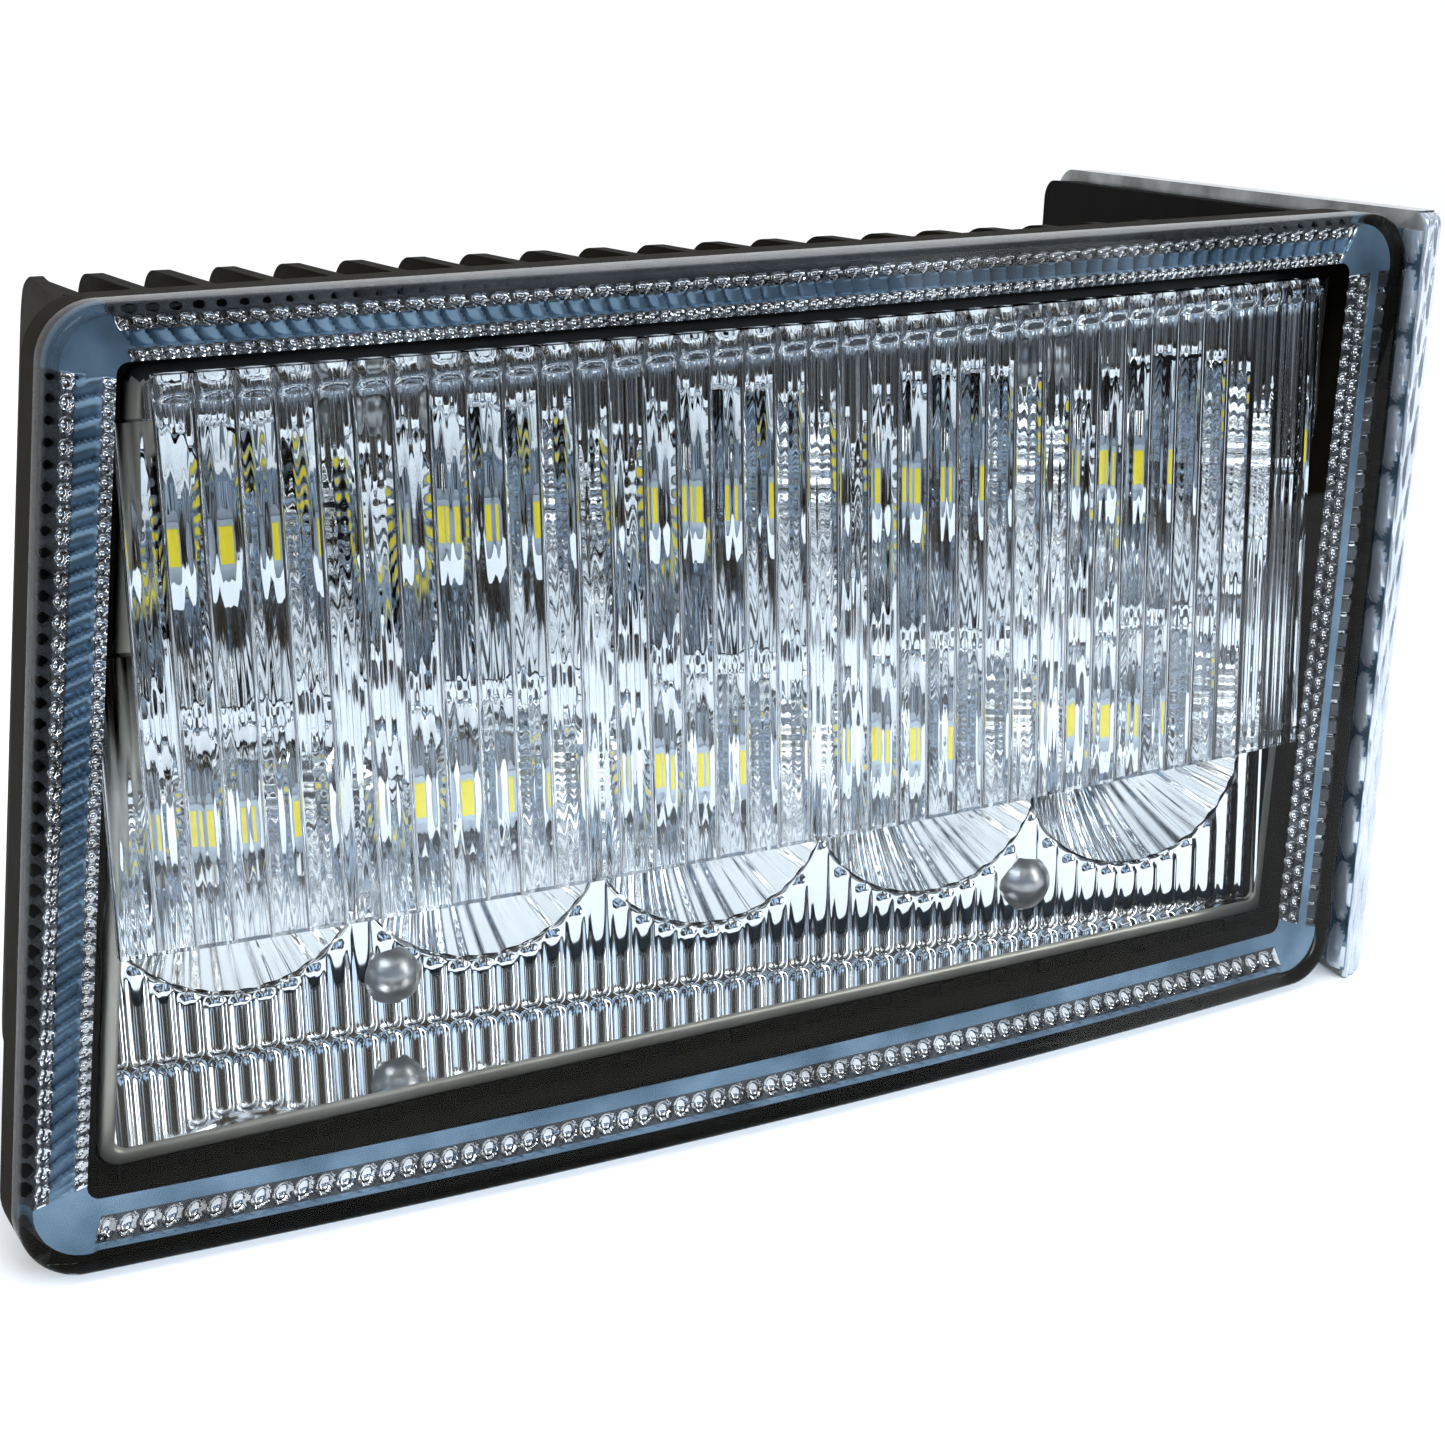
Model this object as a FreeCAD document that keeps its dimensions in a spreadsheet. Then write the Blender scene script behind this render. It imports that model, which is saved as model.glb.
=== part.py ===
import FreeCAD, Part
import math
import os
import Sketcher

# Rectangular LED lamp with a swept, bowed clear front lens, a fluted inner plate, ten mirror bowls,
# a finned die-cast body and a clear side plate that runs back along one side.
#
# Frame: +X to the right seen from the front, +Y to the rear, +Z up, the light goes to -Y.
# Origin: centre of the four tapped mounting bosses, on the plane of their faces.
#
# Three directions are used. "beam" is the frame itself. "lens" is turned about Z by the sweep of
# the front lens, with its local y measured back from the chord plane of the lens. "side" is turned
# about Y by the lean of the side plate, with its local x measured outwards from that plate's inner face.

DIMENSIONS = [
    # outline of the front lens, on its chord plane
    ("lens_height", 150), ("left_middle", 125.6), ("left_slope", 0.1187),
    ("right_middle", 130.9), ("right_slope", 0.082), ("corner_radius", 9.5),
    ("sweep", 7.7), ("chord_y", -74.3), ("bow_radius", 1490), ("bow_height", 5.5),
    # front lens and its joint to the housing
    ("lens_thick", 3), ("skirt_wall", 2.6), ("foot_width", 4.6), ("foot_front", 4), ("flange_front", 7),
    ("tongue_outer", 2.4), ("tongue_back", 9.8), ("groove_outer", 1.6), ("groove_inner", 5.4),
    ("groove_back", 10.4),
    # housing
    ("ledge_front", 15), ("ledge_back", 17), ("flange_inset", 8), ("tub_inset", 4.5), ("tub_wall", 3),
    ("tub_front_z", 66.8), ("tub_rear_z", 60.5), ("tub_step", -38), ("wall_front", -21.9),
    ("wall_back", -17),
    ("fin_pitch", 11.2), ("fin_thick", 2.8), ("fin_first", -124.3), ("fin_back", -2),
    ("fin_half_height", 71.5), ("fin_corner", 9),
    ("bay_half_x", 52), ("bay_half_z", 34), ("bay_wall", 4), ("bay_floor", -19), ("bay_back", -6),
    # mounting bosses
    ("bolt_x", 150), ("bolt_z", 84), ("boss_radius", 9), ("insert_radius", 4.2), ("insert_long", 12),
    ("insert_bore", 2.5),
    # fluted inner plate
    ("plate_front", 6), ("plate_thick", 3), ("plate_left", -101.4), ("plate_right", 117.6),
    ("plate_top", 63.5), ("plate_bottom", -26), ("step_one_z", 57), ("step_two_z", 22), ("leg_wide", 3),
    ("rail_thick", 2), ("flute_pitch", 6), ("flute_deep", 0.9),
    # reflector
    ("bezel_front", 14), ("bezel_thick", 2), ("bezel_left", 13.3), ("bezel_right", 8.4), ("bezel_z", 64),
    ("lip", 2.6), ("mirror_wall", 1.8), ("apron_front", -44), ("apron_thick", 2),
    ("bowl_focus", 5.62), ("bowl_wall", 1.6), ("bowl_pitch", 43.7), ("row_z", 25.5),
    ("column_shift", 2), ("bowl_back", -24.3),
    ("dome_x", 62.5), ("dome_z", 51), ("dome_radius", 5.5), ("dome_height", 3.4), ("post_radius", 3.6),
    # light engine
    ("board_left", -105), ("board_right", 108), ("board_half_z", 56), ("board_front", -24),
    ("board_thick", 1.6), ("package_size", 9), ("package_thick", 0.8), ("phosphor_size", 6.6),
    ("phosphor_thick", 0.3), ("screw_radius", 1.75), ("screw_head", 3), ("screw_head_thick", 2.2),
    # driver
    ("driver_half_x", 42), ("driver_half_z", 25), ("driver_front", -16), ("driver_thick", 1.6),
    ("driver_screw_inset", 4), ("driver_post", 3), ("coil_radius", 8), ("coil_hole", 3), ("coil_high", 7),
    ("coil_x", -20), ("coil_z", 7), ("can_radius", 4), ("can_high", 7.5), ("can_z", 13),
    ("chip_high", 1.5), ("terminal_x", 8), ("terminal_wide", 10), ("terminal_z", -20),
    ("terminal_tall", 8), ("terminal_high", 3.8), ("wire_radius", 0.8), ("wire_gap", 1.2),
    ("wire_hole", 3),
    # rear cover, gland and vent
    ("cover_thick", 2.5), ("cover_seal", 0.8), ("gland_z", -16), ("gland_x", 24), ("gland_thread", 6),
    ("cord_bore", 3.2), ("gland_flats", 15), ("gland_hex", 5), ("nut_flats", 17), ("nut_start", 5.3),
    ("nut_long", 8.7), ("locknut_thick", 3.5), ("grommet_wall", 1.4), ("grommet_start", 3),
    ("grommet_long", 8), ("vent_x", -24), ("vent_cap", 7), ("vent_cap_thick", 2.6), ("vent_stem", 4),
    ("vent_stem_long", 4.5), ("vent_bore", 1.5), ("membrane_thick", 0.3),
    # side plate
    ("lean", 3.4), ("side_inner", 132.2), ("side_thick", 6.4), ("side_front", -58), ("side_back", 89),
    ("side_slant_deep", 4), ("side_slant_wide", 6), ("side_bottom", -76), ("side_top", 75),
    ("side_corner", 7), ("panel_inset", 2.6), ("panel_thick", 4), ("panel_front", -38),
    ("bond_thick", 0.6), ("bond_wide", 7), ("lug_reach", 31), ("lug_back", -5), ("lug_half", 7),
    ("side_boss_reach", 19), ("side_boss_front", -36), ("side_boss_back", -26), ("side_boss_half", 6),
]

doc = FreeCAD.newDocument("led_lamp")
sheet = doc.addObject("Spreadsheet::Sheet", "dims")
for row, (alias, size) in enumerate(DIMENSIONS, start=1):
    sheet.set(f"A{row}", alias)
    sheet.set(f"B{row}", str(size))
    sheet.setAlias(f"B{row}", alias)
doc.recompute()

FAR = 200
WIRE_X = 30
LUG_HEIGHTS = (-41, 41)
PANEL_BEARING = "(-dims.bond_thick - dims.panel_thick)"
DOME_BALL = "((dims.dome_radius^2 + dims.dome_height^2) / (2 * dims.dome_height))"
COVER_INNER = "(dims.bay_back + dims.cover_seal)"
COVER_OUTER = "(dims.bay_back + dims.cover_seal + dims.cover_thick)"


def dim(alias):
    """The number that the sheet holds for an alias."""
    return float(sheet.get(alias))


def number(expression):
    """An expression's present value, used as a first guess for sketch geometry."""
    return float(sheet.evalExpression(str(expression)))


def place(piece, frame, x, y, z, turn=None):
    """Bind a piece's placement to local (x, y, z) of a frame, after an optional own turn."""
    spots = {
        "beam": (f"{x}", f"{y}", f"{z}"),
        "lens": (f"({x}) * cos(dims.sweep) - ({y}) * sin(dims.sweep)",
                 f"dims.chord_y + ({x}) * sin(dims.sweep) + ({y}) * cos(dims.sweep)", f"{z}"),
        "side": (f"dims.side_inner + ({x}) * cos(dims.lean) + ({z}) * sin(dims.lean)", f"{y}",
                 f"({z}) * cos(dims.lean) - ({x}) * sin(dims.lean)"),
    }
    turns = {
        ("beam", None): ((0, 0, 1), None), ("lens", None): ((0, 0, 1), "dims.sweep"),
        ("side", None): ((0, 1, 0), "dims.lean"),
        ("beam", "to_rear"): ((1, 0, 0), "-90"), ("side", "to_side"): ((0, 1, 0), "dims.lean + 90"),
    }
    axis, angle = turns[(frame, turn)]
    if angle:
        piece.Placement = FreeCAD.Placement(
            FreeCAD.Vector(), FreeCAD.Rotation(FreeCAD.Vector(*axis), number(angle)))
        piece.setExpression("Placement.Rotation.Angle", angle)
    for letter, expression in zip("xyz", spots[frame]):
        piece.setExpression(f"Placement.Base.{letter}", expression)
    return piece


def box(name, frame, x_range, y_range, z_range):
    piece = doc.addObject("Part::Box", name)
    spans = {"Length": x_range, "Width": y_range, "Height": z_range}
    for side, (low, high) in spans.items():
        piece.setExpression(side, f"({high}) - ({low})")
    return place(piece, frame, x_range[0], y_range[0], z_range[0])


def rod(name, frame, radius, start, length):
    """A cylinder from a start point, to the rear in the beam frame, outwards in the side frame."""
    piece = doc.addObject("Part::Cylinder", name)
    piece.setExpression("Radius", str(radius))
    piece.setExpression("Height", str(length))
    turn = "to_side" if frame == "side" else "to_rear"
    return place(piece, frame, *start, turn=turn)


def cut(name, base, tool):
    piece = doc.addObject("Part::Cut", name)
    piece.Base = base
    piece.Tool = tool
    return piece


def common(name, base, tool):
    piece = doc.addObject("Part::Common", name)
    piece.Base = base
    piece.Tool = tool
    return piece


def fuse(name, pieces):
    piece = doc.addObject("Part::MultiFuse", name)
    piece.Shapes = pieces
    return piece


def group(name, pieces):
    piece = doc.addObject("Part::Compound", name)
    piece.Links = pieces
    return piece


def sketch_on(body, name, role, corners):
    """A closed sketch of straight lines; each corner is a pair of expressions bound to the sheet."""
    plane = next(feature for feature in body.Origin.OriginFeatures if feature.Role == role)
    sketch = body.newObject("Sketcher::SketchObject", name)
    sketch.AttachmentSupport = [(plane, "")]
    sketch.MapMode = "FlatFace"
    points = [FreeCAD.Vector(number(x), number(y), 0) for x, y in corners]
    count = len(points)
    for index, point in enumerate(points):
        sketch.addGeometry(Part.LineSegment(point, points[(index + 1) % count]), False)
    for index in range(count):
        sketch.addConstraint(Sketcher.Constraint("Coincident", index, 2, (index + 1) % count, 1))
    for index, corner in enumerate(corners):
        for kind, letter, expression in zip(("DistanceX", "DistanceY"), "xy", corner):
            place_at = getattr(points[index], letter)
            rule = sketch.addConstraint(Sketcher.Constraint(kind, -1, 1, index, 1, place_at))
            sketch.renameConstraint(rule, f"{letter}{index}")
            sketch.setExpression(f"Constraints.{letter}{index}", str(expression))
    return sketch


def prism(name, frame, role, corners, low, high, corner_radius=None, rounded=None):
    """A PartDesign body: a sketch padded from low to high along its plane's axis, corners rounded."""
    body = doc.addObject("PartDesign::Body", name)
    sketch = sketch_on(body, f"{name}_sketch", role, corners)
    sign = -1 if role == "XZ_Plane" else 1
    sketch.setExpression("AttachmentOffset.Base.z", f"{sign} * ({low})")
    pad = body.newObject("PartDesign::Pad", f"{name}_pad")
    pad.Profile = sketch
    pad.Reversed = sign < 0
    pad.setExpression("Length", f"({high}) - ({low})")
    if corner_radius:
        doc.recompute()
        letter = {"XZ_Plane": "Y", "YZ_Plane": "X"}[role]
        edges = []
        for index, edge in enumerate(pad.Shape.Edges, start=1):
            ends = [getattr(vertex, letter) for vertex in edge.Vertexes]
            if abs(ends[0] - ends[-1]) > 0.01 and (rounded is None or rounded(edge.CenterOfMass)):
                edges.append(f"Edge{index}")
        fillet = body.newObject("PartDesign::Fillet", f"{name}_fillet")
        fillet.Base = (pad, edges)
        fillet.setExpression("Radius", str(corner_radius))
    return place(body, frame, 0, "0", 0)


def outline(left, right=None, vertical=None, frame="lens"):
    """The lens outline's four corners, drawn in by the given insets."""
    right = left if right is None else right
    vertical = left if vertical is None else vertical
    scale = "1" if frame == "lens" else "cos(dims.sweep)"
    corners = []
    for side, level in ((-1, -1), (1, -1), (1, 1), (-1, 1)):
        height = f"({level} * (dims.lens_height / 2 - ({vertical})))"
        if side < 0:
            across = f"{scale} * (-dims.left_middle + dims.left_slope * {height}) + ({left})"
        else:
            across = f"{scale} * (dims.right_middle + dims.right_slope * {height}) - ({right})"
        corners.append((across, height))
    return corners


def lens_prism(name, inset, front, back, radius="dims.corner_radius"):
    return prism(name, "lens", "XZ_Plane", outline(inset), front, back, radius)


def beam_prism(name, insets, front, back, radius):
    return prism(name, "beam", "XZ_Plane", outline(*insets, frame="beam"), front, back, radius)


def ring(name, outer, inner, front, back):
    """A closed band that follows the lens outline between two insets."""
    outside = lens_prism(f"{name}_outside", outer, front, back)
    inside = lens_prism(f"{name}_inside", inner, front, back, f"dims.corner_radius - ({inner})")
    return cut(name, outside, inside)


def bow(name, setback):
    """A tall upright cylinder whose front is the bowed surface, set back from the lens surface."""
    piece = doc.addObject("Part::Cylinder", name)
    piece.setExpression("Radius", f"dims.bow_radius - ({setback})")
    piece.Height = 2 * FAR
    return place(piece, "lens", "(dims.right_middle - dims.left_middle) / 2",
                 "dims.bow_radius - dims.bow_height", -FAR)


def behind_lens(name, setback):
    """Everything behind a plane parallel to the lens chord plane."""
    return box(name, "lens", (-FAR, FAR), (setback, 2 * FAR), (-FAR, FAR))


def screws(name, frame, spots, drive, length):
    """Screws with a round head; the spots are where the heads bear, drive is 1 for rearward."""
    pieces = []
    for index, (x, y, z) in enumerate(spots):
        along = 0 if frame == "side" else 1
        head_start = [x, y, z]
        shank_start = [x, y, z]
        moved = head_start if drive > 0 else shank_start
        moved[along] = f"({moved[along]}) - ({'dims.screw_head_thick' if drive > 0 else length})"
        head = rod(f"{name}_head{index}", frame, "dims.screw_head", head_start, "dims.screw_head_thick")
        shank = rod(f"{name}_shank{index}", frame, "dims.screw_radius", shank_start, length)
        pieces.append(fuse(f"{name}_{index}", [head, shank]))
    return group(name, pieces)


def hexagon(name, across_flats, x, z, front, back):
    """A hexagonal prism along the beam axis."""
    piece = doc.addObject("Part::Prism", name)
    piece.Polygon = 6
    piece.setExpression("Circumradius", f"({across_flats}) / 2 / cos(30)")
    piece.setExpression("Height", f"({back}) - ({front})")
    return place(piece, "beam", x, front, z, turn="to_rear")


def rectangle(half_x, half_z):
    return [(f"-({half_x})", f"-({half_z})"), (f"{half_x}", f"-({half_z})"),
            (f"{half_x}", f"{half_z}"), (f"-({half_x})", f"{half_z}")]


def bored(name, base, radius, spots, front, length):
    """The base with a round hole to the rear at each (x, z) spot."""
    drills = [rod(f"{name}_drill{index}", "beam", radius, (x, front, z), length)
              for index, (x, z) in enumerate(spots)]
    return cut(name, base, fuse(f"{name}_drills", drills) if len(drills) > 1 else drills[0])


# Places of what repeats, as (x, z) expressions.

def four(half_x, half_z):
    return [(f"{i} * ({half_x})", f"{j} * ({half_z})") for i in (-1, 1) for j in (-1, 1)]


BOLTS = four("dims.bolt_x / 2", "dims.bolt_z / 2")
DOMES = four("dims.dome_x", "dims.dome_z")
DRIVER_SCREWS = four("dims.driver_half_x - dims.driver_screw_inset",
                     "dims.driver_half_z - dims.driver_screw_inset")
COVER_SCREWS = four("dims.bay_half_x - dims.bay_wall", "dims.bay_half_z - dims.bay_wall")
BOARD_SCREWS = [(f"{i} * dims.bowl_pitch / 2", "0") for i in (-3, -1, 1, 3)]
LIGHTS = [(f"{k} * dims.bowl_pitch + {level} * dims.column_shift", f"{level} * dims.row_z")
          for level in (-1, 1) for k in range(-2, 3)]
SIDE_SCREWS = [(y, z) for y in (-31, -11) for z in LUG_HEIGHTS]
CAN_PLACES = (2, 12, 22)
# Chips on the driver board: left edge, lower edge, width and height.
CHIPS = ((-8, -14, 8, 8), (-34, -14, 5, 6), (-22, -16, 6, 5), (30, 4, 5, 6))


def bezel_insets(extra):
    """Left, right and vertical insets of the reflector's outer edge, drawn in by extra."""
    return [f"dims.bezel_left + ({extra})", f"dims.bezel_right + ({extra})",
            f"dims.lens_height / 2 - dims.bezel_z + ({extra})"]


def make_front_lens():
    """Bowed clear tray: face, skirt wall, foot that bears on the flange and tongue in its groove."""
    block = lens_prism("lens_block", "0", -20, "dims.flange_front")
    core = lens_prism("lens_core", "dims.skirt_wall", -20, "dims.flange_front",
                      "dims.corner_radius - dims.skirt_wall")
    shell = cut("lens_shell", common("lens_outside", block, bow("lens_face", 0)),
                common("lens_hollow", core, bow("lens_back_face", "dims.lens_thick")))
    foot = ring("lens_foot", "0", "dims.foot_width", "dims.foot_front", "dims.flange_front")
    tongue = ring("lens_tongue", "dims.tongue_outer", "dims.foot_width", "dims.flange_front",
                  "dims.tongue_back")
    return fuse("front_lens", [shell, foot, tongue])


def make_lens_seal():
    """Cured sealant that fills the flange groove round the lens tongue."""
    filled = ring("seal_band", "dims.groove_outer", "dims.groove_inner", "dims.flange_front",
                  "dims.groove_back")
    slot = ring("seal_slot", "dims.tongue_outer", "dims.foot_width", "dims.flange_front",
                "dims.tongue_back")
    return cut("lens_seal", filled, slot)


def make_inner_lens():
    """Bowed clear plate with a stepped left edge, grooved upright between its flutes on its back."""
    left = "dims.plate_left"
    one = "(dims.plate_left - dims.flute_pitch)"
    two = "(dims.plate_left - 2 * dims.flute_pitch)"
    corners = [(two, "dims.plate_bottom"), ("dims.plate_right", "dims.plate_bottom"),
               ("dims.plate_right", "dims.plate_top"), (left, "dims.plate_top"),
               (left, "dims.step_one_z"), (one, "dims.step_one_z"), (one, "dims.step_two_z"),
               (two, "dims.step_two_z")]
    block = prism("plate_block", "lens", "XZ_Plane", corners, -10, 20)
    face = bow("plate_face", "dims.plate_front")
    plate = cut("plate", common("plate_front_part", block, face),
                bow("plate_back_face", "dims.plate_front + dims.plate_thick"))
    rail = box("plate_rail", "lens", (left, "dims.plate_right"), (-10, "dims.bezel_front"),
               ("dims.plate_top - dims.rail_thick", "dims.plate_top"))
    leg = box("plate_leg", "lens", (two, f"{two} + dims.leg_wide"), (0, "dims.bezel_front"),
              ("dims.plate_bottom", 10))
    supports = common("plate_supports", fuse("plate_support_blocks", [rail, leg]), face)
    return fuse("inner_lens", [cut("fluted_plate", plate, make_flute_grooves()), supports])


def make_flute_grooves():
    """Upright round grooves in the back of the plate, one between each two flutes."""
    back_radius = "(dims.bow_radius - dims.plate_front - dims.plate_thick)"
    middle = "(dims.right_middle - dims.left_middle) / 2"
    count = int((dim("plate_right") - dim("plate_left")) // dim("flute_pitch")) + 1
    grooves = []
    for index in range(-1, count):
        groove = doc.addObject("Part::Cylinder", f"flute_groove{index + 1}")
        groove.setExpression("Radius", "dims.flute_deep")
        groove.setExpression("Height", "dims.plate_top - dims.rail_thick - dims.plate_bottom + 1")
        across = f"(dims.plate_left + {index} * dims.flute_pitch)"
        depth = f"dims.bow_radius - dims.bow_height - sqrt({back_radius}^2 - ({across} - {middle})^2)"
        grooves.append(place(groove, "lens", across, depth, "dims.plate_bottom - 1"))
    return fuse("flute_grooves", grooves)


def bowl_solid(front_extra, wall):
    """A solid of revolution: the bowl's parabola grown by wall, axis to the rear, vertex end cut."""
    focus = dim("bowl_focus")
    depth = dim("bowl_back") - dim("apron_front")
    steps = 8
    curve = []
    for step in range(steps + 1):
        ahead = depth * step / steps
        curve.append(FreeCAD.Vector(2 * math.sqrt(focus * (focus + ahead)) + wall, -ahead, 0))
    spline = Part.BSplineCurve()
    spline.interpolate(curve)
    rim = curve[-1] - FreeCAD.Vector(0, front_extra, 0)
    edges = [spline.toShape()]
    if front_extra:
        edges.append(Part.LineSegment(curve[-1], rim).toShape())
    edges.append(Part.LineSegment(rim, FreeCAD.Vector(0, rim.y, 0)).toShape())
    edges.append(Part.LineSegment(FreeCAD.Vector(0, rim.y, 0), FreeCAD.Vector()).toShape())
    edges.append(Part.LineSegment(FreeCAD.Vector(), curve[0]).toShape())
    face = Part.Face(Part.Wire(edges))
    return face.revolve(FreeCAD.Vector(), FreeCAD.Vector(0, 1, 0), 360)


def bowls(name, front_extra, wall):
    """One bowl solid at each light, fused into a Part::Feature."""
    shape = bowl_solid(front_extra, wall)
    copies = []
    for x, z in LIGHTS:
        copy = shape.copy()
        copy.translate(FreeCAD.Vector(number(x), dim("bowl_back"), number(z)))
        copies.append(copy)
    piece = doc.addObject("Part::Feature", name)
    piece.Shape = copies[0].multiFuse(copies[1:])
    piece.Placement = FreeCAD.Placement()
    return piece


def make_reflector():
    """Mirrored moulding: bezel lip, box walls, flat apron and ten bowls that cut into each other."""
    front = -120
    apron_back = "dims.apron_front + dims.apron_thick"
    inside = beam_prism("mirror_inside", bezel_insets("dims.lip"), front, "dims.bowl_back", "1.5")
    outside = beam_prism("mirror_outside", bezel_insets("dims.lip - dims.mirror_wall"), front,
                         "dims.bowl_back", "3")
    bezel = common("bezel", beam_prism("bezel_block", bezel_insets(0), front, -30, "3"),
                   box("bezel_slice", "lens", (-FAR, FAR),
                       ("dims.bezel_front", "dims.bezel_front + dims.bezel_thick"), (-FAR, FAR)))
    tray = common("mirror_tray", beam_prism("tray_block", bezel_insets("dims.lip - dims.mirror_wall"),
                                            front, apron_back, "3"),
                  behind_lens("tray_front", "dims.bezel_front"))
    shells = common("bowl_shells", bowls("bowl_outsides", 0, dim("bowl_wall")), outside)
    posts = [rod(f"dome_post{index}", "beam", "dims.post_radius", (x, "dims.apron_front + 1", z),
                 "dims.bowl_back - dims.apron_front - 1") for index, (x, z) in enumerate(DOMES)]
    body = fuse("mirror_body", [bezel, tray, shells] + posts)
    room = beam_prism("tray_room", bezel_insets("dims.lip"), front, "dims.apron_front", "1.5")
    voids = common("bowl_voids", bowls("bowl_insides", 1, 0), inside)
    open_body = cut("mirror_open", body, fuse("mirror_hollows", [room, voids]))
    return bored("reflector", open_body, "dims.screw_radius + 0.3", DOMES, "dims.apron_front - 1", 30)


def make_reflector_screws():
    """Dome-head screws through the apron, its posts and the board into the casting."""
    pieces = []
    for index, (x, z) in enumerate(DOMES):
        ball = doc.addObject("Part::Sphere", f"dome_ball{index}")
        ball.setExpression("Radius", DOME_BALL)
        place(ball, "beam", x, f"dims.apron_front - dims.dome_height + {DOME_BALL}", z)
        slug = rod(f"dome_slug{index}", "beam", "dims.dome_radius",
                   (x, "dims.apron_front - dims.dome_height", z), "dims.dome_height")
        shank = rod(f"dome_shank{index}", "beam", "dims.screw_radius", (x, "dims.apron_front", z), 26)
        pieces.append(fuse(f"dome_screw{index}", [common(f"dome{index}", slug, ball), shank]))
    return group("reflector_screws", pieces)


def make_board_stack():
    """Metal-core board with its packages and phosphors, and the pad between it and the casting."""
    board_back = "dims.board_front + dims.board_thick"
    holes = BOARD_SCREWS + DOMES
    span = ("dims.board_left", "dims.board_right")
    tall = ("-dims.board_half_z", "dims.board_half_z")
    board = bored("led_board", box("board_blank", "beam", span, ("dims.board_front", board_back), tall),
                  "dims.screw_radius + 0.3", holes, "dims.board_front - 1", 4)
    pad_blank = box("pad_blank", "beam", span, (board_back, "dims.wall_front"), tall)
    pad_bored = bored("pad_bored", pad_blank, "dims.screw_radius + 0.3", holes, "dims.board_front", 4)
    pad = bored("thermal_pad", pad_bored, "dims.wire_hole", [(WIRE_X, 0)], "dims.board_front", 4)
    packages = light_tiles("led_packages", "dims.package_size", "dims.board_front", "dims.package_thick")
    phosphors = light_tiles("led_phosphors", "dims.phosphor_size",
                            "dims.board_front - dims.package_thick", "dims.phosphor_thick")
    return [board, pad, packages, phosphors]


def light_tiles(name, size, back, thick):
    """A flat square tile at each light."""
    tiles = [box(f"{name}_{index}", "beam", (f"{x} - {size} / 2", f"{x} + {size} / 2"),
                 (f"{back} - {thick}", back), (f"{z} - {size} / 2", f"{z} + {size} / 2"))
             for index, (x, z) in enumerate(LIGHTS)]
    return group(name, tiles)


def tub_part(name, inset, half_height, front, back, radius):
    """A block along the beam axis with the tub's slanted sides and a given half height."""
    vertical = f"dims.lens_height / 2 - ({half_height})"
    return beam_prism(name, [inset, inset, vertical], front, back, radius)


def make_housing():
    """Die-cast tub with a flange for the lens, cooling fins, a driver bay and mounting bosses."""
    flange = ring("flange", "0", "dims.flange_inset", "dims.flange_front", "dims.ledge_front")
    ledge = lens_prism("ledge_plate", "dims.tub_inset - 2", "dims.ledge_front", "dims.ledge_back")
    tub = common("tub_front_solid",
                 tub_part("tub_block", "dims.tub_inset", "dims.tub_front_z", -120, "dims.tub_step", "6"),
                 behind_lens("tub_front", "dims.ledge_front"))
    rear = tub_part("tub_rear", "dims.tub_inset", "dims.tub_rear_z", "dims.tub_step - 5",
                    "dims.wall_back", "6")
    bay = box("bay_block", "beam", ("-dims.bay_half_x", "dims.bay_half_x"),
              ("dims.wall_back - 1", "dims.bay_back"), ("-dims.bay_half_z", "dims.bay_half_z"))
    bosses = [rod(f"boss{index}", "beam", "dims.boss_radius", (x, "dims.wall_back - 1", z),
                  "1 - dims.wall_back") for index, (x, z) in enumerate(BOLTS)]
    lugs = [box(f"lug{index}", "side", ("-dims.lug_reach", PANEL_BEARING),
                ("dims.wall_back - 1", "dims.lug_back"), (f"{z} - dims.lug_half", f"{z} + dims.lug_half"))
            for index, z in enumerate(LUG_HEIGHTS)]
    body = fuse("housing_solid", [flange, ledge, tub, rear, make_fins(), bay] + bosses + lugs)
    hollowed = cut("housing_hollowed", body, make_hollows())
    posts = [rod(f"driver_post{index}", "beam", "dims.driver_post", (x, "dims.bay_floor - 0.5", z),
                 "dims.driver_front - dims.bay_floor + 0.5")
             for index, (x, z) in enumerate(DRIVER_SCREWS)]
    posts += [rod(f"cover_post{index}", "beam", "dims.bay_wall", (x, "dims.bay_floor - 0.5", z),
                  "dims.bay_back - dims.bay_floor + 0.5")
              for index, (x, z) in enumerate(COVER_SCREWS)]
    posts += [box(f"side_boss{index}", "side", ("-dims.side_boss_reach", PANEL_BEARING),
                  ("dims.side_boss_front", "dims.side_boss_back"),
                  (f"{z} - dims.side_boss_half", f"{z} + dims.side_boss_half"))
              for index, z in enumerate(LUG_HEIGHTS)]
    return cut("housing", fuse("housing_with_posts", [hollowed] + posts), make_housing_holes())


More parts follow.
